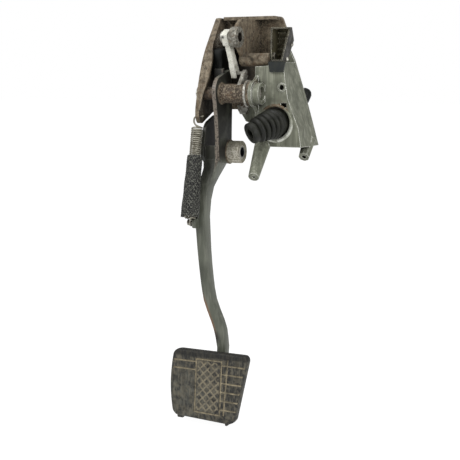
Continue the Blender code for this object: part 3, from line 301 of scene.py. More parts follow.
# Cylinder bracket. One aluminium sand casting: face, side walls, floor and two stand-off legs, bolted to
# the hanger. The skin is matt grey-green oxide with upright rub marks, brighter on the edges, and rusty
# water has run over its pivot boss.
# Its brighter edges are partly painted highlights, and its corners are darkened by dirt and painted shade.
OXIDE = "#7f8171"
OXIDE_DARK = "#595b4e"
OXIDE_PALE = "#a0a292"
CORNER_DIRT_AND_SHADE = "#3b3c32"
BRIGHT_ALUMINIUM = "#cbccc2"
WATER_STAIN = "#6a5b48"
CAST_EDGE_ROUNDING = 0.0013
DIRT_BLOTCH = 0.010
RUB_MARK = 0.0011
RUB_MARK_STRETCH = 0.06
# The sand's grain is about 0.3 mm; it is drawn at 0.7 mm, because it wouldn't show in the render.
CAST_GRAIN = 0.0007
PIVOT_BOSS_STAIN = (0.021, 0.000, 0.008), 0.012
OPENING_STAIN = (0.052, 0.008, -0.018), 0.012


def sand_cast_aluminium():
    """Cast aluminium gone matt. It looks soft and grey-green, brushed upright, with pale edges that are worn and carry
    painted highlights, and corners darkened by dirt and painted shade.
    """
    made = Finish("sand_cast_aluminium", CAST_EDGE_ROUNDING, 0.93)
    marks = made.patches(RUB_MARK * 1.6, 0.45, 0.12, comb=RUB_MARK_STRETCH)
    wide_marks = made.patches(RUB_MARK * 4, 0.40, 0.14, comb=RUB_MARK_STRETCH)
    dirt = made.patches(DIRT_BLOTCH, 0.25, 0.12)
    stain = made.overlap(made.near(*PIVOT_BOSS_STAIN), made.patches(DIRT_BLOTCH * 0.4, 0.6, 0.08))
    rim = made.overlap(made.near(*OPENING_STAIN), made.patches(DIRT_BLOTCH * 0.3, 0.55, 0.06))
    # Edges worn bright, lightened further as painted highlights.
    edge = made.overlap(made.edges, made.patches(DIRT_BLOTCH * 0.5, 1.1, 0.12))
    # Inner corners are darkened by dirt and by painted shade.
    crease_grime_and_shade = made.overlap(made.creases(0.008), made.patches(DIRT_BLOTCH * 0.5, 1.0, 0.15))
    layers = [(wide_marks, OXIDE_PALE, 0.75), (marks, OXIDE_DARK, 0.62), (dirt, OXIDE_DARK, 0.7),
              (crease_grime_and_shade, CORNER_DIRT_AND_SHADE), (stain, WATER_STAIN), (rim, WATER_STAIN), (edge, BRIGHT_ALUMINIUM)]
    made.relief(made.patches(CAST_GRAIN, 0.5, 0.2), 0.00008)
    made.relief(marks, 0.00004)
    return made.set(Base_Color=made.layered(OXIDE, layers), Metallic=0.35,
                    Roughness=made.layered(0.52, [(marks, 0.60), (edge, 0.33), (stain, 0.7)]))


dress("cylinder_bracket", sand_cast_aluminium())


# Bolts, washers, pins and rivets. Turned and cold-headed steel with zinc plate gone dull; the guard's two
# rivets have stayed bright. The plate is grey with white bloom and brown specks where it has worn through.
ZINC = "#9c9a92"
ZINC_BLOOM = "#c2c1b8"
ZINC_DARK = "#6b675e"
RIVET_ZINC = "#e0ded2"
ZINC_BLOTCH = 0.004
# Crystals of zinc are under 0.1 mm; they are drawn at 0.6 mm so that they break up the light in the render.
ZINC_CRYSTAL = 0.0006


def zinc_plate(name, base):
    """Electroplated zinc. It looks like a soft grey metal, clouded white."""
    made = Finish(name, 0.0004)
    bloom = made.patches(ZINC_BLOTCH, 0.35, 0.10)
    dark = made.patches(ZINC_BLOTCH * 1.5, 0.30, 0.10)
    rust = made.patches(ZINC_BLOTCH * 0.625, 0.08, 0.05)
    made.relief(made.patches(ZINC_CRYSTAL, 0.5, 0.2), 0.00004)
    return made.set(Base_Color=made.layered(base, [(dark, ZINC_DARK), (bloom, ZINC_BLOOM), (rust, RUST_RED)]),
                    Metallic=0.6, Roughness=made.layered(0.42, [(bloom, 0.6), (rust, 0.8)]))


ZINC_PLATE = zinc_plate("dull_zinc_plate", ZINC)
RIVET_PLATE = zinc_plate("bright_rivet_plate", RIVET_ZINC)
for fastener in ("joining_bolt_upper", "joining_bolt_lower", "pivot_bolt", "thrust_washer", "lever_shaft", "trip_lug",
                 "spring_peg", "piston", "piston_clip"):
    dress(fastener, ZINC_PLATE)
for rivet in ("guard_rivet_upper", "guard_rivet_lower"):
    dress(rivet, RIVET_PLATE)


# Pivot tube, spacer and pushrod eye. Drawn tube and turned steel, welded to the cheek and never painted well.
# The tube is dark brown and pitted, with pale flecks painted on its middle as glints; the eye is rubbed pale by the
# missing pushrod.
TUBE_RUST = "#42382f"
TUBE_RUST_PALE = "#5b4f43"
EYE_STEEL = "#a5a18d"
EYE_STEEL_PALE = "#b3ae9a"
SLEEVE_END = "#b9b6aa"
SLEEVE_GREASE = "#57554d"
SLEEVE_BORE = "#1b1f24"
# The middle of the tube, where pale flecks are painted on as glints.
TUBE_MIDDLE = (-0.004, -0.011, 0.002), 0.034
EYE_FACE = (-0.004, 0.010, -0.072), 0.017
# Y and Z of the eye, counted from the pivot, the radius of its bore and the outer radius of its pressed-in sleeve.
EYE = (0.023, -0.0688)
EYE_BORE = 0.0055
EYE_SLEEVE = 0.0080

TUBE_STEEL = rusted_steel("pitted_tube_steel", TUBE_RUST, TUBE_RUST_PALE, dark_cover=0.65, painted_light_places=[TUBE_MIDDLE])
dress("pivot_tube", TUBE_STEEL)
dress("pivot_spacer", TUBE_STEEL)
dress("pushrod_eye", rusted_steel("eye_steel", EYE_STEEL, EYE_STEEL_PALE, rubbed_places=[EYE_FACE], red=0.0,
                                  dark_cover=-0.1))


def eye_sleeve_steel():
    """Hardened steel. It is bright on the sleeve's end and blue-black inside its greasy bore."""
    made = Finish("eye_sleeve_steel", 0.0003)
    radius = made.off_axis(*EYE)
    bore = made.fade(radius, EYE_BORE + 0.0005, EYE_BORE + 0.0001)
    grease = made.fade(radius, EYE_SLEEVE - 0.0009, EYE_SLEEVE - 0.0013)
    return made.set(Base_Color=made.layered(SLEEVE_END, [(grease, SLEEVE_GREASE, 0.75), (bore, SLEEVE_BORE)]),
                    Metallic=made.layered(0.6, [(bore, 0.2)]), Roughness=0.4)


dress("eye_sleeve", eye_sleeve_steel())


# Bushes and outlet. The two bushes are sintered bronze pressed into the tube, the outlet is turned brass.
# Both are brown with age.
BRONZE = "#8a744f"
BRONZE_BROWN = "#5a4a34"
BRONZE_BLOTCH = 0.005
# The sintered grain is about 0.1 mm; it is drawn at 0.5 mm, the finest that shows.
BRONZE_GRAIN = 0.0005


def aged_bronze():
    """Bronze with its brown skin. It looks warm and half dull."""
    made = Finish("aged_bronze", 0.0003)
    brown = made.patches(BRONZE_BLOTCH, 0.45, 0.12)
    made.relief(made.patches(BRONZE_GRAIN, 0.5, 0.2), 0.00003)
    return made.set(Base_Color=made.layered(BRONZE, [(brown, BRONZE_BROWN)]), Metallic=0.7,
                    Roughness=made.layered(0.35, [(brown, 0.55)]))


AGED_BRONZE = aged_bronze()
for bush in ("pivot_bush_left", "pivot_bush_right", "outlet_fitting"):
    dress(bush, AGED_BRONZE)


# Pedal arm. Two steel cheeks run into one forged bar, welded and sprayed with olive-grey satin paint.
# The paint has faint runs and scuffs and one nick, and is rubbed to the brown primer along the left edge
# above the pad; the cheeks between the brackets are painted nearly black as shade, and painted shade also
# darkens the bar's left side and a stretch beside the right cheek.
PAINT = "#585b50"
PAINT_SCUFF = "#84857a"
PAINT_DARK = "#3c3f36"
PRIMER = "#7f6048"
GREASE_AND_SHADE = "#1f1f1a"
SMUDGE = "#22221e"
STOP_MARK = "#1f1f1c"
WORN_EDGE = "#756c61"
CHIP = "#3c332a"
PAINT_EDGE_ROUNDING = 0.0009
SHADE_BLOTCH = 0.030
SCUFF = 0.0035
SCUFF_STRETCH = 0.12
RUB_BLOTCH = 0.006
EDGE_WEAR = 0.010
CHIP_SIZE = 0.002
CHEEK_SHADE_BLOTCH = 0.020
GREASE_SPECK = 0.0022
ORANGE_PEEL = 0.0016
# Places on the arm, each a point that is counted from the pivot and a radius.
STOP_TAB = (-0.026, 0.008, 0.022), 0.013
RUBBED_STRETCH = (-0.026, -0.026, -0.258), 0.034
DARK_PATCH = (-0.034, -0.026, -0.205), 0.016
SMUDGE_PLACE = (-0.0160, -0.0250, -0.284), 0.011
NICK = (-0.0392, -0.024, -0.1558), 0.0044
# The bar's left edge slants towards the pad: it is where X plus this share of Z reaches the two limits.
EDGE_SLANT = 0.36
LEFT_EDGE = (-0.1235, -0.1262)
# Where masks begin and are full: the bar's front in Y, the lower ends of the cheeks' painted shade, of the worn strip
# on the right cheek's front edge and of the painted shadow beside it in Z, and the strip and painted shadow in X.
BAR_FRONT = (PIVOT.y - 0.0205, PIVOT.y - 0.0235)
CHEEKS_FOOT = (PIVOT.z - 0.083, PIVOT.z - 0.072)
STRIP_FOOT = (PIVOT.z - 0.092, PIVOT.z - 0.078)
SHADOW_FOOT = (PIVOT.z - 0.122, PIVOT.z - 0.090)
STRIP_SIDE = (-0.0218, -0.0208)
SHADOW_SIDE = (-0.0208, -0.0222)


def worn_satin_paint():
    """Sprayed enamel. It looks smooth and half matt, with painted shade on the bar's left side, on the cheeks and
    beside the right cheek.
    """
    made = Finish("worn_satin_paint", PAINT_EDGE_ROUNDING)
    place = made.place
    shade = made.patches(SHADE_BLOTCH, 0.40, 0.15)
    scuffs = made.patches(SCUFF, 0.25, 0.10, comb=SCUFF_STRETCH)
    specks = made.patches(GREASE_SPECK, 0.25)
    bare = made.overlap(made.edges, made.patches(EDGE_WEAR, 0.35, 0.08, comb=SCUFF_STRETCH))
    # Faces turned to the left are painted darker as shade.
    left_side_shade = made.fade(made.normal, -0.25, -0.50, "X")
    front = made.fade(place, *BAR_FRONT, "Y")

    # Painted shade: the cheeks' right faces between the brackets are painted nearly black.
    grease = made.overlap(made.fade(place, *CHEEKS_FOOT, "Z"), made.fade(made.facing, 0.45, 0.7, "X"),
                          made.patches(CHEEK_SHADE_BLOTCH, 1.2, 0.2))
    strip = made.overlap(made.fade(place, *STRIP_FOOT, "Z"), made.fade(made.facing, -0.25, -0.5, "Y"),
                         made.fade(place, *STRIP_SIDE, "X"))
    # Painted shadow beside the right cheek's front edge.
    painted_shadow = made.overlap(made.fade(place, *SHADOW_FOOT, "Z"), made.fade(place, *SHADOW_SIDE, "X"))

    slant = put(made.tree, "ShaderNodeVectorMath", {0: place, 1: (1.0, 0.0, EDGE_SLANT)}, operation="DOT_PRODUCT")
    rubbed = made.overlap(made.near(*RUBBED_STRETCH), made.patches(RUB_BLOTCH, 0.95, 0.08, comb=SCUFF_STRETCH))
    rubbed_edge = made.overlap(rubbed, made.fade(slant.outputs["Value"], *LEFT_EDGE), front)
    smudge = made.overlap(made.near(*SMUDGE_PLACE), front)
    nick = made.overlap(made.fade(made.near(*NICK), 0.2, 0.5), made.patches(CHIP_SIZE, 0.55, 0.03))

    layers = [(shade, PAINT_DARK, 0.45), (scuffs, PAINT_SCUFF, 0.40), (made.near(*DARK_PATCH), PAINT_DARK, 0.75),
              (left_side_shade, PAINT_DARK, 0.6), (painted_shadow, GREASE_AND_SHADE, 0.85), (rubbed_edge, PRIMER, 0.9),
              (smudge, SMUDGE, 0.9), (grease, GREASE_AND_SHADE), (strip, WORN_EDGE), (made.overlap(strip, specks), GREASE_AND_SHADE, 0.8),
              (made.near(*STOP_TAB), STOP_MARK, 0.92), (nick, CHIP), (bare, PAINT_SCUFF, 0.6)]
    made.relief(made.patches(ORANGE_PEEL, 0.5, 0.25), 0.00003)
    made.relief(nick, -0.00010)
    return made.set(Base_Color=made.layered(PAINT, layers), Metallic=0.0, Specular_IOR_Level=0.4,
                    Roughness=made.layered(0.42, [(scuffs, 0.55), (grease, 0.6), (nick, 0.8), (rubbed, 0.6)]))


dress("pedal_arm", worn_satin_paint())


# Trip lever. A small bright aluminium die casting that turns on its shaft, worked by the pin on the pivot
# tube. It is nearly white, with fine grey pores and a dark oil hole.
LEVER_WHITE = "#e6e5da"
LEVER_GREY = "#c8c6b6"
LEVER_PORE = "#8c8a80"
OIL_BLACK = "#26241f"
LEVER_BLOTCH = 0.006
# Pores and skin are finer than 0.5 mm and are drawn two to three times as coarse.
PORE_SIZE = 0.0014
LEVER_GRAIN = 0.0009
OIL_HOLE = (-0.0082, -0.0152, 0.0636), 0.0028


def bright_cast_aluminium():
    """Fresh cast aluminium. It looks almost white and evenly lit, with a few grey clouds."""
    made = Finish("bright_cast_aluminium", 0.0008)
    grey = made.patches(LEVER_BLOTCH, 0.30, 0.12)
    pores = made.patches(PORE_SIZE, 0.12, 0.05)
    layers = [(grey, LEVER_GREY, 0.7), (pores, LEVER_PORE, 0.5), (made.near(*OIL_HOLE), OIL_BLACK)]
    made.relief(made.patches(LEVER_GRAIN, 0.5, 0.2), 0.00006)
    return made.set(Base_Color=made.layered(LEVER_WHITE, layers), Metallic=0.1,
                    Roughness=made.layered(0.45, [(grey, 0.55)]))


dress("trip_lever", bright_cast_aluminium())


# Bump stop and inlet port. Both are moulded black rubber. The stop is polished by the pedal's tab, and the
# port takes the hose of the fluid reservoir.
STOP_BLACK = "#090b09"
STOP_DUST = "#191d1a"
RUBBER_BLOTCH = 0.007
# The mould's grain is about 0.2 mm and is drawn at 0.8 mm.
RUBBER_GRAIN = 0.0008


def moulded_rubber(name, base, dust_colour, dust, roughness, gloss=0.3):
    """Moulded rubber. It looks deep black, with soft clouds of dust that take away its sheen."""
    made = Finish(name)
    dusty = made.patches(RUBBER_BLOTCH, dust, 0.15)
    made.relief(made.patches(RUBBER_GRAIN, 0.5, 0.25), 0.00003)
    return made.set(Base_Color=made.layered(base, [(dusty, dust_colour, 0.5)]),
                    Specular_IOR_Level=gloss, Roughness=made.layered(roughness, [(dusty, roughness + 0.2)]))


STOP_RUBBER = moulded_rubber("polished_rubber", STOP_BLACK, STOP_DUST, 0.25, 0.48, 0.2)
dress("bump_stop", STOP_RUBBER)
dress("inlet_port", STOP_RUBBER)


# Master cylinder, switch guard, pad plate and guard screw. Turned and pressed steel under black paint.
# Brown dust lies in the guard, its outer side is painted dark as shade, and its folded edges are worn to bright metal
# and lightened further as painted highlights.
BLACK_PAINT = "#211f1b"
BROWN_DUST = "#4a4434"
CORNER_DUST = "#6e6850"
GUARD_SIDE_SHADE = "#25221a"
WORN_RIM_AND_HIGHLIGHT = "#cdc9b2"
DUST_BLOTCH = 0.006
# The paint's texture is about 0.4 mm and is drawn at 1 mm.
PAINT_GRAIN = 0.0010
# Where the painted shade on the guard's outer side begins and is full, in X and Z.
GUARD_OUTSIDE = (0.0495, 0.0510)
GUARD_FOOT = (-0.002, 0.0)


def black_painted_steel():
    """Black enamel on steel. It looks half glossy where it is clean, and brown and dry under the dust."""
    made = Finish("black_painted_steel", EDGE_ROUNDING, 0.90)
    dust = made.patches(DUST_BLOTCH, 0.45, 0.14)
    # Folded edges worn to bright metal, lightened further as painted highlights.
    worn = made.overlap(made.edges, made.patches(DUST_BLOTCH * 0.667, 1.0, 0.06))
    # Painted shade: the guard's outer side, which faces right, is kept dark and free of dust.
    guard_side_shade = made.overlap(made.fade(made.facing, 0.5, 0.7, "X"), made.fade(made.place, *GUARD_OUTSIDE, "X"),
                              made.fade(made.place, *GUARD_FOOT, "Z"))
    layers = [(dust, BROWN_DUST, 0.6), (made.creases(0.020), CORNER_DUST, 0.85), (guard_side_shade, GUARD_SIDE_SHADE),
              (worn, WORN_RIM_AND_HIGHLIGHT)]
    made.relief(made.patches(PAINT_GRAIN, 0.5, 0.2), 0.00004)
    return made.set(Base_Color=made.layered(BLACK_PAINT, layers), Metallic=0.1,
                    Roughness=made.layered(0.45, [(dust, 0.7), (worn, 0.4)]))


PAINTED_STEEL = black_painted_steel()
for pressing in ("switch_guard", "master_cylinder", "pad_plate", "guard_screw"):
    dress(pressing, PAINTED_STEEL)


# Switch body. A moulded nylon housing inside the guard. Only its flange shows below the guard's lower
# edge, blue-grey under its dust.
NYLON = "#1e2222"
NYLON_DUST = "#3a3b32"
# The mould's grain is about 0.2 mm and is drawn at 0.7 mm.
NYLON_GRAIN = 0.0007


def moulded_nylon():
    """Filled nylon. It looks nearly black, smooth and slightly cold in tone."""
    made = Finish("moulded_nylon", 0.0004)
    dust = made.patches(DUST_BLOTCH, 0.35, 0.15)
    made.relief(made.patches(NYLON_GRAIN, 0.5, 0.2), 0.00002)
    return made.set(Base_Color=made.layered(NYLON, [(dust, NYLON_DUST, 0.4)]), Specular_IOR_Level=0.3,
                    Roughness=made.layered(0.45, [(dust, 0.65)]))


dress("switch_body", moulded_nylon())


# Boot. A moulded rubber bellows of five folds that is pushed into the casting's opening and droops from it.
# The pushrod is missing, so its tip is an empty hole with a thick lip. It is dull, with dust in its folds.
BOOT_BLACK = "#10110c"
BOOT_DUST = "#2c2d24"
BOOT_START = Vector((0.0465, 0.0118, -0.0335))
BOOT_BEND = Vector((0.0465, -0.0085, -0.0335))
BOOT_TIP = Vector((0.0302, -0.0270, -0.0444))
BOOT_NECK = 0.0163
BOOT_FOLDS = 5
FOLDS_START, FOLDS_END = 0.22, 0.86
FOLD_LARGE, FOLD_SMALL = 0.0178, 0.0142
FOLD_DEPTH = 0.0038
BOOT_LIP = 0.0122
TIP_HOLE = 0.0056
BOOT_WALL = 0.0018


def stand(name, data):
    """Put a mesh, lamp or camera in the scene."""
    thing = bpy.data.objects.new(name, data)
    bpy.context.scene.collection.objects.link(thing)
    return thing


def shaped(name, bm, material, sharp):
    """Make an object of a finished mesh, shaded smooth but for corners over this many degrees."""
    mesh = bpy.data.meshes.new(name)
    bmesh.ops.recalc_face_normals(bm, faces=bm.faces)
    bm.to_mesh(mesh)
    bm.free()
    mesh.materials.append(material)
    mesh.shade_smooth()
    mesh.set_sharp_from_angle(angle=math.radians(sharp))
    return stand(name, mesh)


def band(bm, first, second):
    """Join two closed loops with a band of faces."""
    for i in range(len(first)):
        j = (i + 1) % len(first)
        bm.faces.new((first[i], first[j], second[j], second[i]))


def wrap(bm, loops, closed):
    """Faces over loops of points; closed joins the last loop to the first, otherwise the ends are capped."""
    rings = [[bm.verts.new(point) for point in loop] for loop in loops]
    for first, second in zip(rings, rings[1:] + (rings[:1] if closed else [])):
        band(bm, first, second)
    if not closed:
        bm.faces.new(rings[0])
        bm.faces.new(rings[-1])


def skin(name, loops, material, closed=True, sharp=35):
    """One object wrapped over loops of points."""
    bm = bmesh.new()
    wrap(bm, loops, closed)
    return shaped(name, bm, material, sharp)


def across(direction):
    """Two unit vectors square to a direction."""
    forward = direction.normalized()
    side = forward.cross(Vector((0, 0, 1)) if abs(forward.z) < 0.9 else Vector((1, 0, 0))).normalized()
    return side, forward.cross(side)


def angles(count):
    """This many angles evenly round a circle."""
    return [2 * math.pi * k / count for k in range(count)]


def round_loop(centre, side, other, radius, count):
    """Points round a centre, in the plane of two directions."""
    return [centre + radius * (math.cos(a) * side + math.sin(a) * other) for a in angles(count)]


def bellows_profile():
    """(share along the boot, radius) from the neck over the folds to the lip, then back along the inside."""
    per_fold = 12
    outer = [(0.0, BOOT_NECK), (0.14, BOOT_NECK), (0.17, BOOT_NECK - 0.0006)]
    for step in range(BOOT_FOLDS * per_fold + 1):
        share = step / (BOOT_FOLDS * per_fold)
        crest = FOLD_LARGE + (FOLD_SMALL - FOLD_LARGE) * share
        wave = abs(math.sin(math.pi * step / per_fold)) ** 0.75
        outer.append((FOLDS_START + (FOLDS_END - FOLDS_START) * share, crest - FOLD_DEPTH * (1 - wave)))
    inner = [(share, radius - BOOT_WALL) for share, radius in reversed(outer[:-1])]
    lip = [(0.88, BOOT_LIP - 0.0004), (0.90, BOOT_LIP), (0.98, BOOT_LIP), (1.0, BOOT_LIP - 0.0006),
           (1.005, BOOT_LIP - 0.0022), (1.005, TIP_HOLE + 0.0010), (0.995, TIP_HOLE), (0.89, TIP_HOLE)]
    return outer + lip + inner


def boot_loops():
    """The profile turned round a line that droops from the opening to the tip."""
    loops = []
    for share, radius in bellows_profile():
        centre = (BOOT_START * (1 - share) ** 2 + BOOT_BEND * 2 * share * (1 - share) + BOOT_TIP * share ** 2) + PIVOT
        heading = (BOOT_BEND - BOOT_START) * (1 - share) + (BOOT_TIP - BOOT_BEND) * share
        loops.append(round_loop(centre, *across(heading), radius, 64))
    return loops


boot = skin("rubber_boot", boot_loops(), moulded_rubber("boot_rubber", BOOT_BLACK, BOOT_DUST, 0.35, 0.42))
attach(boot, "bracket")
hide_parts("boot")


# Return spring. Close-wound carbon steel wire, its top hooked through the side plate and its lower end
# bent into a loop round the arm's peg. Bare wire, dull and a little rusty between the turns.
WIRE_GREY = "#9a978a"
WIRE_BROWN = "#645f51"
WIRE_BLOTCH = 0.004
# Drawing marks on the wire are under 0.1 mm and are drawn at 0.5 mm.
WIRE_GRAIN = 0.0005
COIL_TOP = Vector((-0.0412, -0.0150, -0.0397))
COIL_BOTTOM = Vector((-0.0366, -0.0450, -0.1394))
COIL_RADIUS = 0.0059
WIRE_RADIUS = 0.0010
COIL_PITCH = 0.00245
COIL_OVERRUN = 0.0015
POINTS_PER_TURN = 26
# The hook's hole in the side plate and the wire's bends from it, from inside the plate round to the coil.
HOOK_HOLE = Vector((-0.043, -0.0122, -0.0262))
HOOK_BENDS = [(0.0090, 0.0, 0.0006), (0.0062, 0.0, 0.0), (0.0020, 0.0, 0.0), (-0.0008, 0.0, -0.0003),
              (-0.0027, -0.0008, -0.0022), (-0.0028, -0.0016, -0.0062), (-0.0006, -0.0022, -0.0098),
              (0.0040, -0.0024, -0.0119)]
PEG = Vector((-0.0393, -0.0365, -0.1472))
PEG_RADIUS = 0.0022


def drawn_spring_wire():
    """Drawn carbon steel. It glints grey on the turns and is brown between them."""
    made = Finish("drawn_spring_wire", 0.0001)
    brown = made.patches(WIRE_BLOTCH, 0.35, 0.12)
    made.relief(made.patches(WIRE_GRAIN, 0.5, 0.2), 0.00002)
    return made.set(Base_Color=made.layered(WIRE_GREY, [(brown, WIRE_BROWN)]), Metallic=0.6,
                    Roughness=made.layered(0.36, [(brown, 0.6)]))


def round_wire(name, points, radius, material, sides=10):
    """A round wire along points, its section carried along without twist."""
    side = across(points[1] - points[0])[0]
    loops = []
    for i, point in enumerate(points):
        tangent = (points[min(i + 1, len(points) - 1)] - points[max(i - 1, 0)]).normalized()
        side = (side - tangent * side.dot(tangent)).normalized()
        loops.append(round_loop(point, side, tangent.cross(side), radius, sides))
    return skin(name, loops, material, closed=False, sharp=50)


def curved(points, per_span=6):
    """A smooth line through points (Catmull-Rom)."""
    line = []
    for i in range(len(points) - 1):
        a, b = points[max(i - 1, 0)], points[i]
        c, d = points[i + 1], points[min(i + 2, len(points) - 1)]
        for k in range(per_span):
            t = k / per_span
            line.append(0.5 * ((2 * b) + (c - a) * t + (2 * a - 5 * b + 4 * c - d) * t ** 2
                               + (3 * b - a - 3 * c + d) * t ** 3))
    return line + [points[-1]]


def spring_points():
    """The wire's middle line: hook, coil, and the leg with its loop round the peg."""
    axis = (COIL_BOTTOM - COIL_TOP).normalized()
    reach = (COIL_BOTTOM - COIL_TOP).length + COIL_OVERRUN
    turns = reach / COIL_PITCH
    right = Vector((1, 0, 0))
    right = (right - axis * right.dot(axis)).normalized()
    front = axis.cross(right)
    steps = int(turns * POINTS_PER_TURN)
    coil = []
    for k in range(steps + 1):
        a = 2 * math.pi * turns * k / steps
        coil.append(COIL_TOP + axis * (reach * k / steps) + COIL_RADIUS * (math.cos(a) * right + math.sin(a) * front))
    hook = [HOOK_HOLE + Vector(bend) for bend in HOOK_BENDS] + [coil[0] - axis * 0.0002 - front * 0.0006]
    loop_radius = PEG_RADIUS + WIRE_RADIUS + 0.0004
    loop = [PEG + Vector((0.0, loop_radius * math.cos(a), loop_radius * math.sin(a)))
            for a in [math.radians(180 + 20 * k) for k in range(17)]]
    end = coil[-1]
    leg = [end, end.lerp(loop[0], 0.35) + axis * 0.0012, end.lerp(loop[0], 0.7), *loop]
    return [PIVOT + p for p in curved(hook) + coil[2:-1] + curved(leg, 4)]


spring = round_wire("coil_spring", spring_points(), WIRE_RADIUS, drawn_spring_wire())
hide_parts("return_spring")
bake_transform(spring)


# Spring sleeve. A tube braided from flat black nylon strands, wider at its frayed lower end, that keeps the
# spring quiet. Strands run both ways round and pass over and under each other; grey specks on them are painted glints,
# with a little dust.
BRAID_BLACK = "#0f0f0f"
BRAID_GLINT = "#5f6058"
BRAID_DUST = "#34332f"
BRAID_BLOTCH = 0.010
# Glints sit on the crossings, about 1 mm apart; they are painted as grey specks drawn at 1.5 mm so that they show as a
# grain.
GLINT_SIZE = 0.0015
SLEEVE_TOP_SHARE = 0.32
SLEEVE_TOP_RADIUS = 0.0082
SLEEVE_END_RADIUS = 0.0102
STRANDS = 16
STRAND_WIDTH = 0.0019
STRAND_THICKNESS = 0.0005
BRAID_ANGLE = math.radians(36)
SLEEVE_RIPPLE = 0.0002
FRAY = 0.018


def nylon_braid():
    """Braided nylon. It looks black and woolly, freckled with grey specks that are painted glints."""
    made = Finish("nylon_braid", 0.0001)
    # Grey specks are painted glints.
    specks = made.patches(GLINT_SIZE, 0.30, detail=1.0)
    layers = [(specks, BRAID_GLINT), (made.patches(BRAID_BLOTCH, 0.35, 0.15), BRAID_DUST, 0.2)]
    return made.set(Base_Color=made.layered(BRAID_BLACK, layers), Specular_IOR_Level=0.3, Roughness=0.45)


def sleeve_place(share, angle, out):
    """A point on the sleeve at a share of its length, an angle round it and a height over its mean radius."""
    start = COIL_TOP.lerp(COIL_BOTTOM, SLEEVE_TOP_SHARE)
    right, front = across(COIL_BOTTOM - start)
    radius = SLEEVE_TOP_RADIUS + (SLEEVE_END_RADIUS - SLEEVE_TOP_RADIUS) * share + SLEEVE_RIPPLE * math.sin(share * 17)
    spot = start.lerp(COIL_BOTTOM, share) + (radius + out) * (math.cos(angle) * right + math.sin(angle) * front)
    return PIVOT + spot


def braid_loops(strand, way):
    """The loops of one strand; way is 1 or -1 for its direction round the tube."""
    length = (COIL_BOTTOM - COIL_TOP).length * (1 - SLEEVE_TOP_SHARE)
    twist = math.tan(BRAID_ANGLE) * length / ((SLEEVE_TOP_RADIUS + SLEEVE_END_RADIUS) / 2)
    steps = int(STRANDS * twist / (2 * math.pi) * 8 * 2)
    end_share = 1.0 + FRAY * math.sin(strand * 2.4 + way)
    half = STRAND_WIDTH / 2 / SLEEVE_TOP_RADIUS * 0.9
    slope = way * STRAND_WIDTH / 2 * math.sin(BRAID_ANGLE) / length
    loops = []
    for k in range(steps + 1):
        share = end_share * k / steps
        angle = 2 * math.pi * strand / STRANDS + way * twist * share
        lift = way * STRAND_THICKNESS * 0.55 * math.cos(STRANDS * twist * share)
        low, high = lift - STRAND_THICKNESS / 2, lift + STRAND_THICKNESS / 2
        rim = low * 0.6 + high * 0.4
        loops.append([sleeve_place(share + slope * s, angle - half * s, out)
                      for s, out in [(-1, rim), (-0.5, high), (0.5, high), (1, rim), (0, low)]])
    return loops


braid = bmesh.new()
for way in (1, -1):
    for strand in range(STRANDS):
        wrap(braid, braid_loops(strand, way), closed=False)
sleeve = shaped("spring_sleeve", braid, nylon_braid(), 60)
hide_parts("braided_sleeve")
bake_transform(sleeve)


# Pedal pad. Moulded rubber stretched over its steel plate. The tread is thin grooves packed with pale dust;
# the driver's shoe has worn the lower left smooth. The middle has a plain panel of crossed grooves.
TREAD = "#272725"
TREAD_WORN = "#63635a"
TREAD_SMEAR = "#5f5a4c"
TREAD_DARK = "#1a1a18"
TREAD_SCRATCH = "#716d60"
TREAD_BAND = "#171715"
TREAD_EDGE = "#55534a"
GROOVE_DUST = "#a1967e"
# X and Z on the pad are counted from its middle, across the pad and up it.
PAD_CENTRE = Vector((-0.0115, -0.0447, -0.337))
PAD_TILT = math.radians(6)
PAD_TOP, PAD_LOW_LEFT, PAD_LOW_RIGHT = 0.0395, -0.0400, -0.0428
PAD_LEFT = -0.0530
PAD_RIGHT_FOOT, PAD_RIGHT_TOP = 0.0305, 0.0450
# The two tabs below the foot: left and right side, and lowest point. Each runs up to the tab's root.
PAD_TABS = [(-0.0450, -0.0370, -0.0440), (0.0172, 0.0208, -0.0462)]
TAB_ROOT = -0.036
TAB_BACK, TAB_FRONT = -0.0112, -0.0078
TAB_CHAMFER = 0.001
PAD_ROLL = 0.0030
PAD_CORNER = 0.0075
GROOVE_WIDTH = 0.0016
GROOVE_DEPTH = 0.0011
RIGHT_ROWS = [0.0256 - 0.01005 * k for k in range(6)]
LEFT_ROWS = [0.0266, 0.0172]
UPRIGHT_X, UPRIGHT_LEAN, UPRIGHT_TOP = 0.0192, 0.045, 0.0330
PANEL_TOP, PANEL_FOOT = 0.0300, -0.0315
PANEL_LEFT, PANEL_RIGHT = -0.0195, 0.0130
LATTICE_PITCH = 0.0095
LATTICE_SHARE = 0.6
LATTICE_MARGIN = 0.0022
GRID_SPACING = 0.0007
# Drop behind the face and size of each ring down the pad's side, from the rolled edge to the plate.
PAD_SIDE = [(0.0030, 1.004), (0.0062, 1.0), (0.0085, 0.994), (0.0090, 0.975)]
# The shoe has worn a hollow; its depth, its middle on the pad and the square of its radius.
SHOE_WEAR, SHOE_X, SHOE_Z, SHOE_REACH = 0.0005, -0.030, -0.012, 0.0008
SHOE_MARK = (-0.042, -0.045, -0.352), 0.045
BARE_BAND = (PIVOT.z + PAD_CENTRE.z + 0.0305, PIVOT.z + PAD_CENTRE.z + 0.0335)
WORN_BLOTCH = 0.006
DARK_BLOTCH = 0.008
SMEAR_BLOTCH = 0.0045
DUST_CLUMP = 0.005
SCRATCH_WIDTH = 0.0018
# The mould's grain is about 0.2 mm and is drawn at 0.7 mm.
TREAD_GRAIN = 0.0007


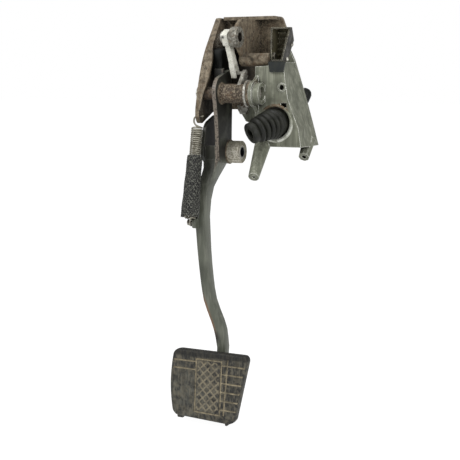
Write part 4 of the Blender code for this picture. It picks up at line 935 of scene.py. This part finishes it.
def worn_tread_rubber():
    """Moulded rubber worn by shoes. It looks dark grey and smeared, with pale dust in the grooves."""
    made = Finish("worn_tread_rubber", 0.0003)
    packed = put(made.tree, "ShaderNodeAttribute", attribute_name="dust").outputs["Fac"]
    worn = made.overlap(made.near(*SHOE_MARK), made.patches(WORN_BLOTCH, 0.7, 0.10))
    scratches = made.patches(SCRATCH_WIDTH, 0.25, 0.05, comb=0.15)
    smear = made.patches(SMEAR_BLOTCH, 0.42, 0.055)
    dark = made.patches(DARK_BLOTCH, 0.30, 0.09)
    edge = made.overlap(made.edges, made.patches(WORN_BLOTCH, 0.5, 0.1))
    groove_dust = made.overlap(packed, made.patches(DUST_CLUMP, 0.85, 0.20))
    bare_band = made.fade(made.place, *BARE_BAND, "Z")
    layers = [(worn, TREAD_WORN, 0.55), (smear, TREAD_SMEAR, 0.65), (dark, TREAD_DARK, 0.6),
              (scratches, TREAD_SCRATCH, 0.4), (bare_band, TREAD_BAND, 0.75), (edge, TREAD_EDGE, 0.4),
              (groove_dust, GROOVE_DUST)]
    made.relief(made.patches(TREAD_GRAIN, 0.5, 0.25), 0.00005)
    return made.set(Base_Color=made.layered(TREAD, layers), Specular_IOR_Level=0.35,
                    Roughness=made.layered(0.62, [(worn, 0.5), (groove_dust, 0.9)]))


def pad_place(x, z, out):
    """A point of the tilted pad: across it, up it and out of its face."""
    up = Vector((0, math.sin(PAD_TILT), math.cos(PAD_TILT)))
    front = Vector((0, -math.cos(PAD_TILT), math.sin(PAD_TILT)))
    return PIVOT + PAD_CENTRE + Vector((x, 0, 0)) + up * z + front * out


def pad_left(z):
    """The left side is furthest out near half height and draws in by 3.5 mm at the top and 5.5 mm at the foot."""
    return PAD_LEFT + (0.0035 * ((z - 0.002) / 0.038) ** 2 if z > 0.002 else 0.0055 * ((z - 0.002) / 0.0415) ** 2)


def pad_right(z):
    """The right side slants out from the foot, at Z -42.5 mm, to the top, at Z 35 mm."""
    return PAD_RIGHT_FOOT + (PAD_RIGHT_TOP - PAD_RIGHT_FOOT) * (z + 0.0425) / 0.0775


def upright_groove(z):
    """The long groove right of the panel leans a little towards the pad's right edge."""
    return UPRIGHT_X + UPRIGHT_LEAN * z


def corner_inset(gap, radius):
    """How far a rounded corner draws the side in at this gap from the top or foot."""
    return 0.0 if gap >= radius else radius - math.sqrt(max(radius ** 2 - (radius - gap) ** 2, 0.0))


def groove(distance):
    """Depth of a groove at a distance from its middle line."""
    return GROOVE_DEPTH * max(0.0, min(1.0, (GROOVE_WIDTH / 2 + 0.0003 - abs(distance)) / 0.0004))


def groove_depth(x, z):
    """Depth of the tread: rows at the right and left, the upright groove, the panel's border and its lattice."""
    depths = [0.0]
    if PANEL_RIGHT + 0.0010 < x < pad_right(z) - 0.0010:
        depths += [groove(z - row) for row in RIGHT_ROWS]
    if PANEL_FOOT < z < UPRIGHT_TOP:
        depths.append(groove(x - upright_groove(z)))
    if pad_left(z) + 0.0035 < x < PANEL_LEFT:
        depths += [groove(z - row) for row in LEFT_ROWS]
    inside = min(x - PANEL_LEFT, PANEL_RIGHT - x, z - PANEL_FOOT, PANEL_TOP - z)
    if inside > -GROOVE_WIDTH:
        depths.append(groove(inside))
    if inside > LATTICE_MARGIN:
        for diagonal in (x + z, x - z):
            middle = (diagonal / LATTICE_PITCH) % 1.0 - 0.5
            depths.append(groove(middle * LATTICE_PITCH / math.sqrt(2)) * LATTICE_SHARE)
    return max(depths)


def tread_lines(fixed, low, high):
    """Grid lines at both walls of each groove and evenly between them."""
    marks = sorted({round(v, 6) for v in fixed if low < v < high} | {low, high})
    lines = []
    for a, b in zip(marks, marks[1:]):
        steps = max(1, math.ceil((b - a) / GRID_SPACING))
        lines += [a + (b - a) * k / steps for k in range(steps)]
    return lines + [high]


def pedal_pad():
    """The tread as a fine grid that follows the grooves, with the pad's sides and its two tabs."""
    half = GROOVE_WIDTH / 2
    wall = [-half - 0.0003, -half + 0.0001, half - 0.0001, half + 0.0003]
    rolled = [0.0002, 0.0006, 0.0012, 0.0020, 0.0030]
    groove_rows = RIGHT_ROWS + LEFT_ROWS + [PANEL_TOP, PANEL_FOOT]
    groove_columns = [PANEL_LEFT, PANEL_RIGHT, upright_groove(0)]
    rows = tread_lines([r + w for r in groove_rows for w in wall] + [PAD_TOP - e for e in rolled]
                       + [PAD_LOW_LEFT + e for e in rolled], PAD_LOW_LEFT, PAD_TOP)
    columns = tread_lines([c + w for c in groove_columns for w in wall] + [pad_left(0) + e for e in rolled]
                          + [pad_right(0) - e for e in rolled], pad_left(0), pad_right(0))
    foot_slant = PAD_LOW_RIGHT - PAD_LOW_LEFT
    bm = bmesh.new()
    dust = bm.verts.layers.float.new("dust")
    grid = []
    for z in rows:
        inset_top = corner_inset(PAD_TOP - z, PAD_CORNER)
        inset_foot = corner_inset(z - PAD_LOW_LEFT, PAD_CORNER)
        left = pad_left(z) + max(inset_top, inset_foot)
        right = pad_right(z) - max(inset_top * 0.9, inset_foot * 1.2)
        # Each knot is a column at half height and its X in this row, so that the grid bends with the sides.
        knots = [(pad_left(0), left), (PANEL_LEFT - 0.004, PANEL_LEFT - 0.004),
                 (PANEL_RIGHT + 0.0015, PANEL_RIGHT + 0.0015),
                 (upright_groove(0) - 0.002, upright_groove(z) - 0.002),
                 (upright_groove(0) + 0.002, upright_groove(z) + 0.002),
                 (pad_right(0) - 0.0078, min(pad_right(z) - 0.0078, right - 0.002)), (pad_right(0), right)]
        row = []
        for column in columns:
            for (a, to_a), (b, to_b) in zip(knots, knots[1:]):
                if column <= b:
                    break
            x = to_a + (to_b - to_a) * (column - a) / (b - a)
            foot = foot_slant * (x - left) / (right - left) * (PAD_TOP - z) / (PAD_TOP - PAD_LOW_LEFT)
            rim = min(x - left, right - x, PAD_TOP - z, z - PAD_LOW_LEFT)
            roll = PAD_ROLL - math.sqrt(max(PAD_ROLL ** 2 - max(PAD_ROLL - rim, 0.0) ** 2, 0.0))
            depth = groove_depth(x, z) if rim > PAD_ROLL * 0.25 else 0.0
            worn = SHOE_WEAR * max(0.0, 1 - ((x - SHOE_X) ** 2 + (z - SHOE_Z) ** 2) / SHOE_REACH)
            vert = bm.verts.new(pad_place(x, z + foot, -roll - depth - worn))
            vert[dust] = depth / GROOVE_DEPTH
            row.append(vert)
        grid.append(row)
    for first, second in zip(grid, grid[1:]):
        for i in range(len(columns) - 1):
            bm.faces.new((first[i], first[i + 1], second[i + 1], second[i]))
    border = grid[0][:-1] + [row[-1] for row in grid[:-1]] + grid[-1][:0:-1] + [row[0] for row in grid[:0:-1]]
    front = (pad_place(0, 0, 1) - pad_place(0, 0, 0)).normalized()
    middle = sum((v.co for v in border), Vector()) / len(border)
    last = border
    for drop, spread in PAD_SIDE:
        ring = [bm.verts.new(middle + (v.co - middle) * spread - front * drop) for v in border]
        band(bm, last, ring)
        last = ring
    bm.faces.new(last)
    for low_x, high_x, low_z in PAD_TABS:
        corners = [(low_x, low_z + TAB_CHAMFER), (low_x + TAB_CHAMFER, low_z), (high_x - TAB_CHAMFER, low_z),
                   (high_x, low_z + TAB_CHAMFER), (high_x, TAB_ROOT), (low_x, TAB_ROOT)]
        wrap(bm, [[pad_place(x, z, out) for x, z in corners] for out in (TAB_BACK, TAB_FRONT)], closed=False)
    return shaped("tread_pad", bm, worn_tread_rubber(), 50)


pad = pedal_pad()
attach(pad, "pedal")
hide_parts("pedal_pad")


# Weld beads. Arc-welded fillets with laid-over ripples hold the tube and the eye to the right cheek.
# Each is rough, dark brown and as rusty as what it joins.
WELD_RUST = "#52463a"
CHEEK_FACE = PIVOT.x - 0.0164
RIPPLES = 44
RIPPLE_HEIGHT = 0.06


def weld_bead(name, centre, direction, radius, size, material, body):
    """A rippled ring of weld round a seat."""
    side, other = across(direction)
    forward = direction.normalized()
    loops = []
    rng = random.Random(name)
    lumps = [rng.uniform(0.88, 1.12) for _ in range(24)]
    turn = angles(150)
    for k, a in enumerate(turn):
        lump = lumps[int(k / len(turn) * len(lumps))]
        thick = size * (1 + RIPPLE_HEIGHT * math.sin(a * RIPPLES)) * (0.5 + 0.5 * lump)
        out = math.cos(a) * side + math.sin(a) * other
        loops.append(round_loop(centre + out * radius, out, forward, thick * 0.9, 8))
    bead = skin(name, loops, material, sharp=70)
    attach(bead, body)
    return bead


WELD_STEEL = rusted_steel("weld_steel", WELD_RUST, red=0.2)
weld_bead("tube_weld", Vector((CHEEK_FACE, PIVOT.y, PIVOT.z)), Vector((1, 0, 0)), 0.0112, 0.0018, WELD_STEEL, "pedal")
weld_bead("eye_weld", Vector((CHEEK_FACE, PIVOT.y + EYE[0], PIVOT.z + EYE[1])), Vector((1, 0, 0)), 0.0133, 0.0014,
          WELD_STEEL, "pedal")


# Lip of the boot's opening. The casting has a raised, hand-dressed lip round the hole. It is thicker and
# filed bright at the lower right, and stained by rusty water at the top.
OPENING_CENTRE = Vector((0.0465, 0.0076, -0.0335))
OPENING_RADIUS = 0.0200
LIP_SIZE, LIP_SWELL = 0.0013, 0.0006
LIP_WIDTH = 1.3
LIP_SWELL_ANGLE = math.radians(50)
FILED_HEIGHT = (PIVOT.z - 0.028, PIVOT.z - 0.040)
STAINED_HEIGHT = (PIVOT.z - 0.021, PIVOT.z - 0.017)
# File marks are about 0.3 mm and are drawn at 0.8 mm.
FILE_MARK = 0.0008


def filed_aluminium():
    """Aluminium dressed with a file. It looks lighter and shinier than the casting's skin."""
    made = Finish("filed_aluminium", 0.0003)
    bright = made.overlap(made.fade(made.place, *FILED_HEIGHT, "Z"), made.patches(0.004, 0.9, 0.10))
    stain = made.overlap(made.fade(made.place, *STAINED_HEIGHT, "Z"), made.patches(0.003, 0.8, 0.08))
    made.relief(made.patches(FILE_MARK, 0.5, 0.2), 0.00006)
    return made.set(Base_Color=made.layered(OXIDE, [(bright, BRIGHT_ALUMINIUM), (stain, WATER_STAIN)]), Metallic=0.35,
                    Roughness=made.layered(0.5, [(bright, 0.35)]))


def opening_lip():
    """A ring of oval section round the hole."""
    loops = []
    for a in angles(96):
        out = Vector((math.cos(a), 0, math.sin(a)))
        middle = PIVOT + OPENING_CENTRE + out * OPENING_RADIUS
        size = LIP_SIZE + LIP_SWELL * max(0.0, math.cos(a + LIP_SWELL_ANGLE))
        loops.append(round_loop(middle, out * LIP_WIDTH, Vector((0, 1, 0)), size, 10))
    return skin("opening_lip", loops, filed_aluminium())


lip = opening_lip()
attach(lip, "bracket")


# Floor and light. A plain white floor and a white surround; broad soft lamps from the upper left, the
# right and above, at a level where a colour looks as it is written.
FLOOR_GREY = "#d8d8d8"
FLOOR_GLOW = 1.3
FLOOR_GLOW_SHARE = 0.72
WORLD_LIGHT = 0.42
FLOOR_GAP = 0.002
FLOOR_SIZE = 30
bpy.ops.mesh.primitive_plane_add(size=FLOOR_SIZE, location=(0, 0, cad_low.z - FLOOR_GAP))
floor = bpy.context.object
floor.name = "studio_floor"


def white_floor():
    """Matt white paint. It looks white to the camera and in mirrors, and still takes the object's shadow."""
    made = bpy.data.materials.new("white_floor")
    made.use_nodes = True
    tree = made.node_tree
    shader = tree.nodes["Principled BSDF"]
    shader.inputs["Base Color"].default_value = colour(FLOOR_GREY)
    shader.inputs["Roughness"].default_value = 1.0
    glow = put(tree, "ShaderNodeEmission", {"Color": (1, 1, 1, 1), "Strength": FLOOR_GLOW})
    path = put(tree, "ShaderNodeLightPath")
    seen = put(tree, "ShaderNodeMath", {0: path.outputs["Is Camera Ray"], 1: path.outputs["Is Glossy Ray"]},
               operation="MAXIMUM")
    share = put(tree, "ShaderNodeMath", {0: seen.outputs[0], 1: FLOOR_GLOW_SHARE}, operation="MULTIPLY")
    both = put(tree, "ShaderNodeMixShader", {0: share.outputs[0], 1: shader.outputs[0], 2: glow.outputs[0]})
    tree.links.new(both.outputs[0], tree.nodes["Material Output"].inputs["Surface"])
    return made


floor.data.materials.append(white_floor())

world = bpy.data.worlds.new("studio")
bpy.context.scene.world = world
world.use_nodes = True
sky = world.node_tree
path = put(sky, "ShaderNodeLightPath")
seen = put(sky, "ShaderNodeMath", {0: path.outputs["Is Camera Ray"], 1: path.outputs["Is Transmission Ray"]},
           operation="MAXIMUM")
strength = put(sky, "ShaderNodeMapRange", {"Value": seen.outputs[0], "To Min": WORLD_LIGHT, "To Max": 1.0})
sky.links.new(strength.outputs["Result"], sky.nodes["Background"].inputs["Strength"])
sky.nodes["Background"].inputs["Color"].default_value = (1, 1, 1, 1)


def lamp(name, place, power, size):
    """A square soft lamp, in watts and metres, that faces the object's upper half."""
    light = bpy.data.lights.new(name, "AREA")
    light.energy = power
    light.size = size
    holder = stand(name, light)
    holder.location = place
    target = PIVOT + Vector((0, 0, -0.08))
    holder.rotation_euler = (target - holder.location).to_track_quat("-Z", "Y").to_euler()


lamp("key_lamp", Vector((-0.9, -1.5, 1.3)), 22, 0.8)
lamp("fill_lamp", Vector((1.6, -1.0, 0.5)), 18, 1.2)
lamp("top_lamp", Vector((0.1, -0.1, 1.6)), 10, 1.0)


# Camera. It stands at the photograph's angle: 24 degrees to the right of square, 8.6 degrees down and
# 1.15 m from the pivot, found by fitting it to points that show in the photograph.
AZIMUTH = math.radians(24)
PITCH = math.radians(8.6)
FOCAL_IN_PIXELS = 1000
PICTURE = 460
SENSOR = 36.0
CAMERA_PLACE = Vector((0.4668, -1.0625, 0.0168))
camera_data = bpy.data.cameras.new("camera")
camera_data.sensor_width = SENSOR
camera_data.lens = SENSOR * FOCAL_IN_PIXELS / PICTURE
camera = stand("camera", camera_data)
camera.location = PIVOT + CAMERA_PLACE
look = Vector((-math.sin(AZIMUTH) * math.cos(PITCH), math.cos(AZIMUTH) * math.cos(PITCH), -math.sin(PITCH)))
camera.rotation_euler = look.to_track_quat("-Z", "Y").to_euler()
bpy.context.scene.camera = camera
bpy.context.scene.view_settings.view_transform = "Standard"
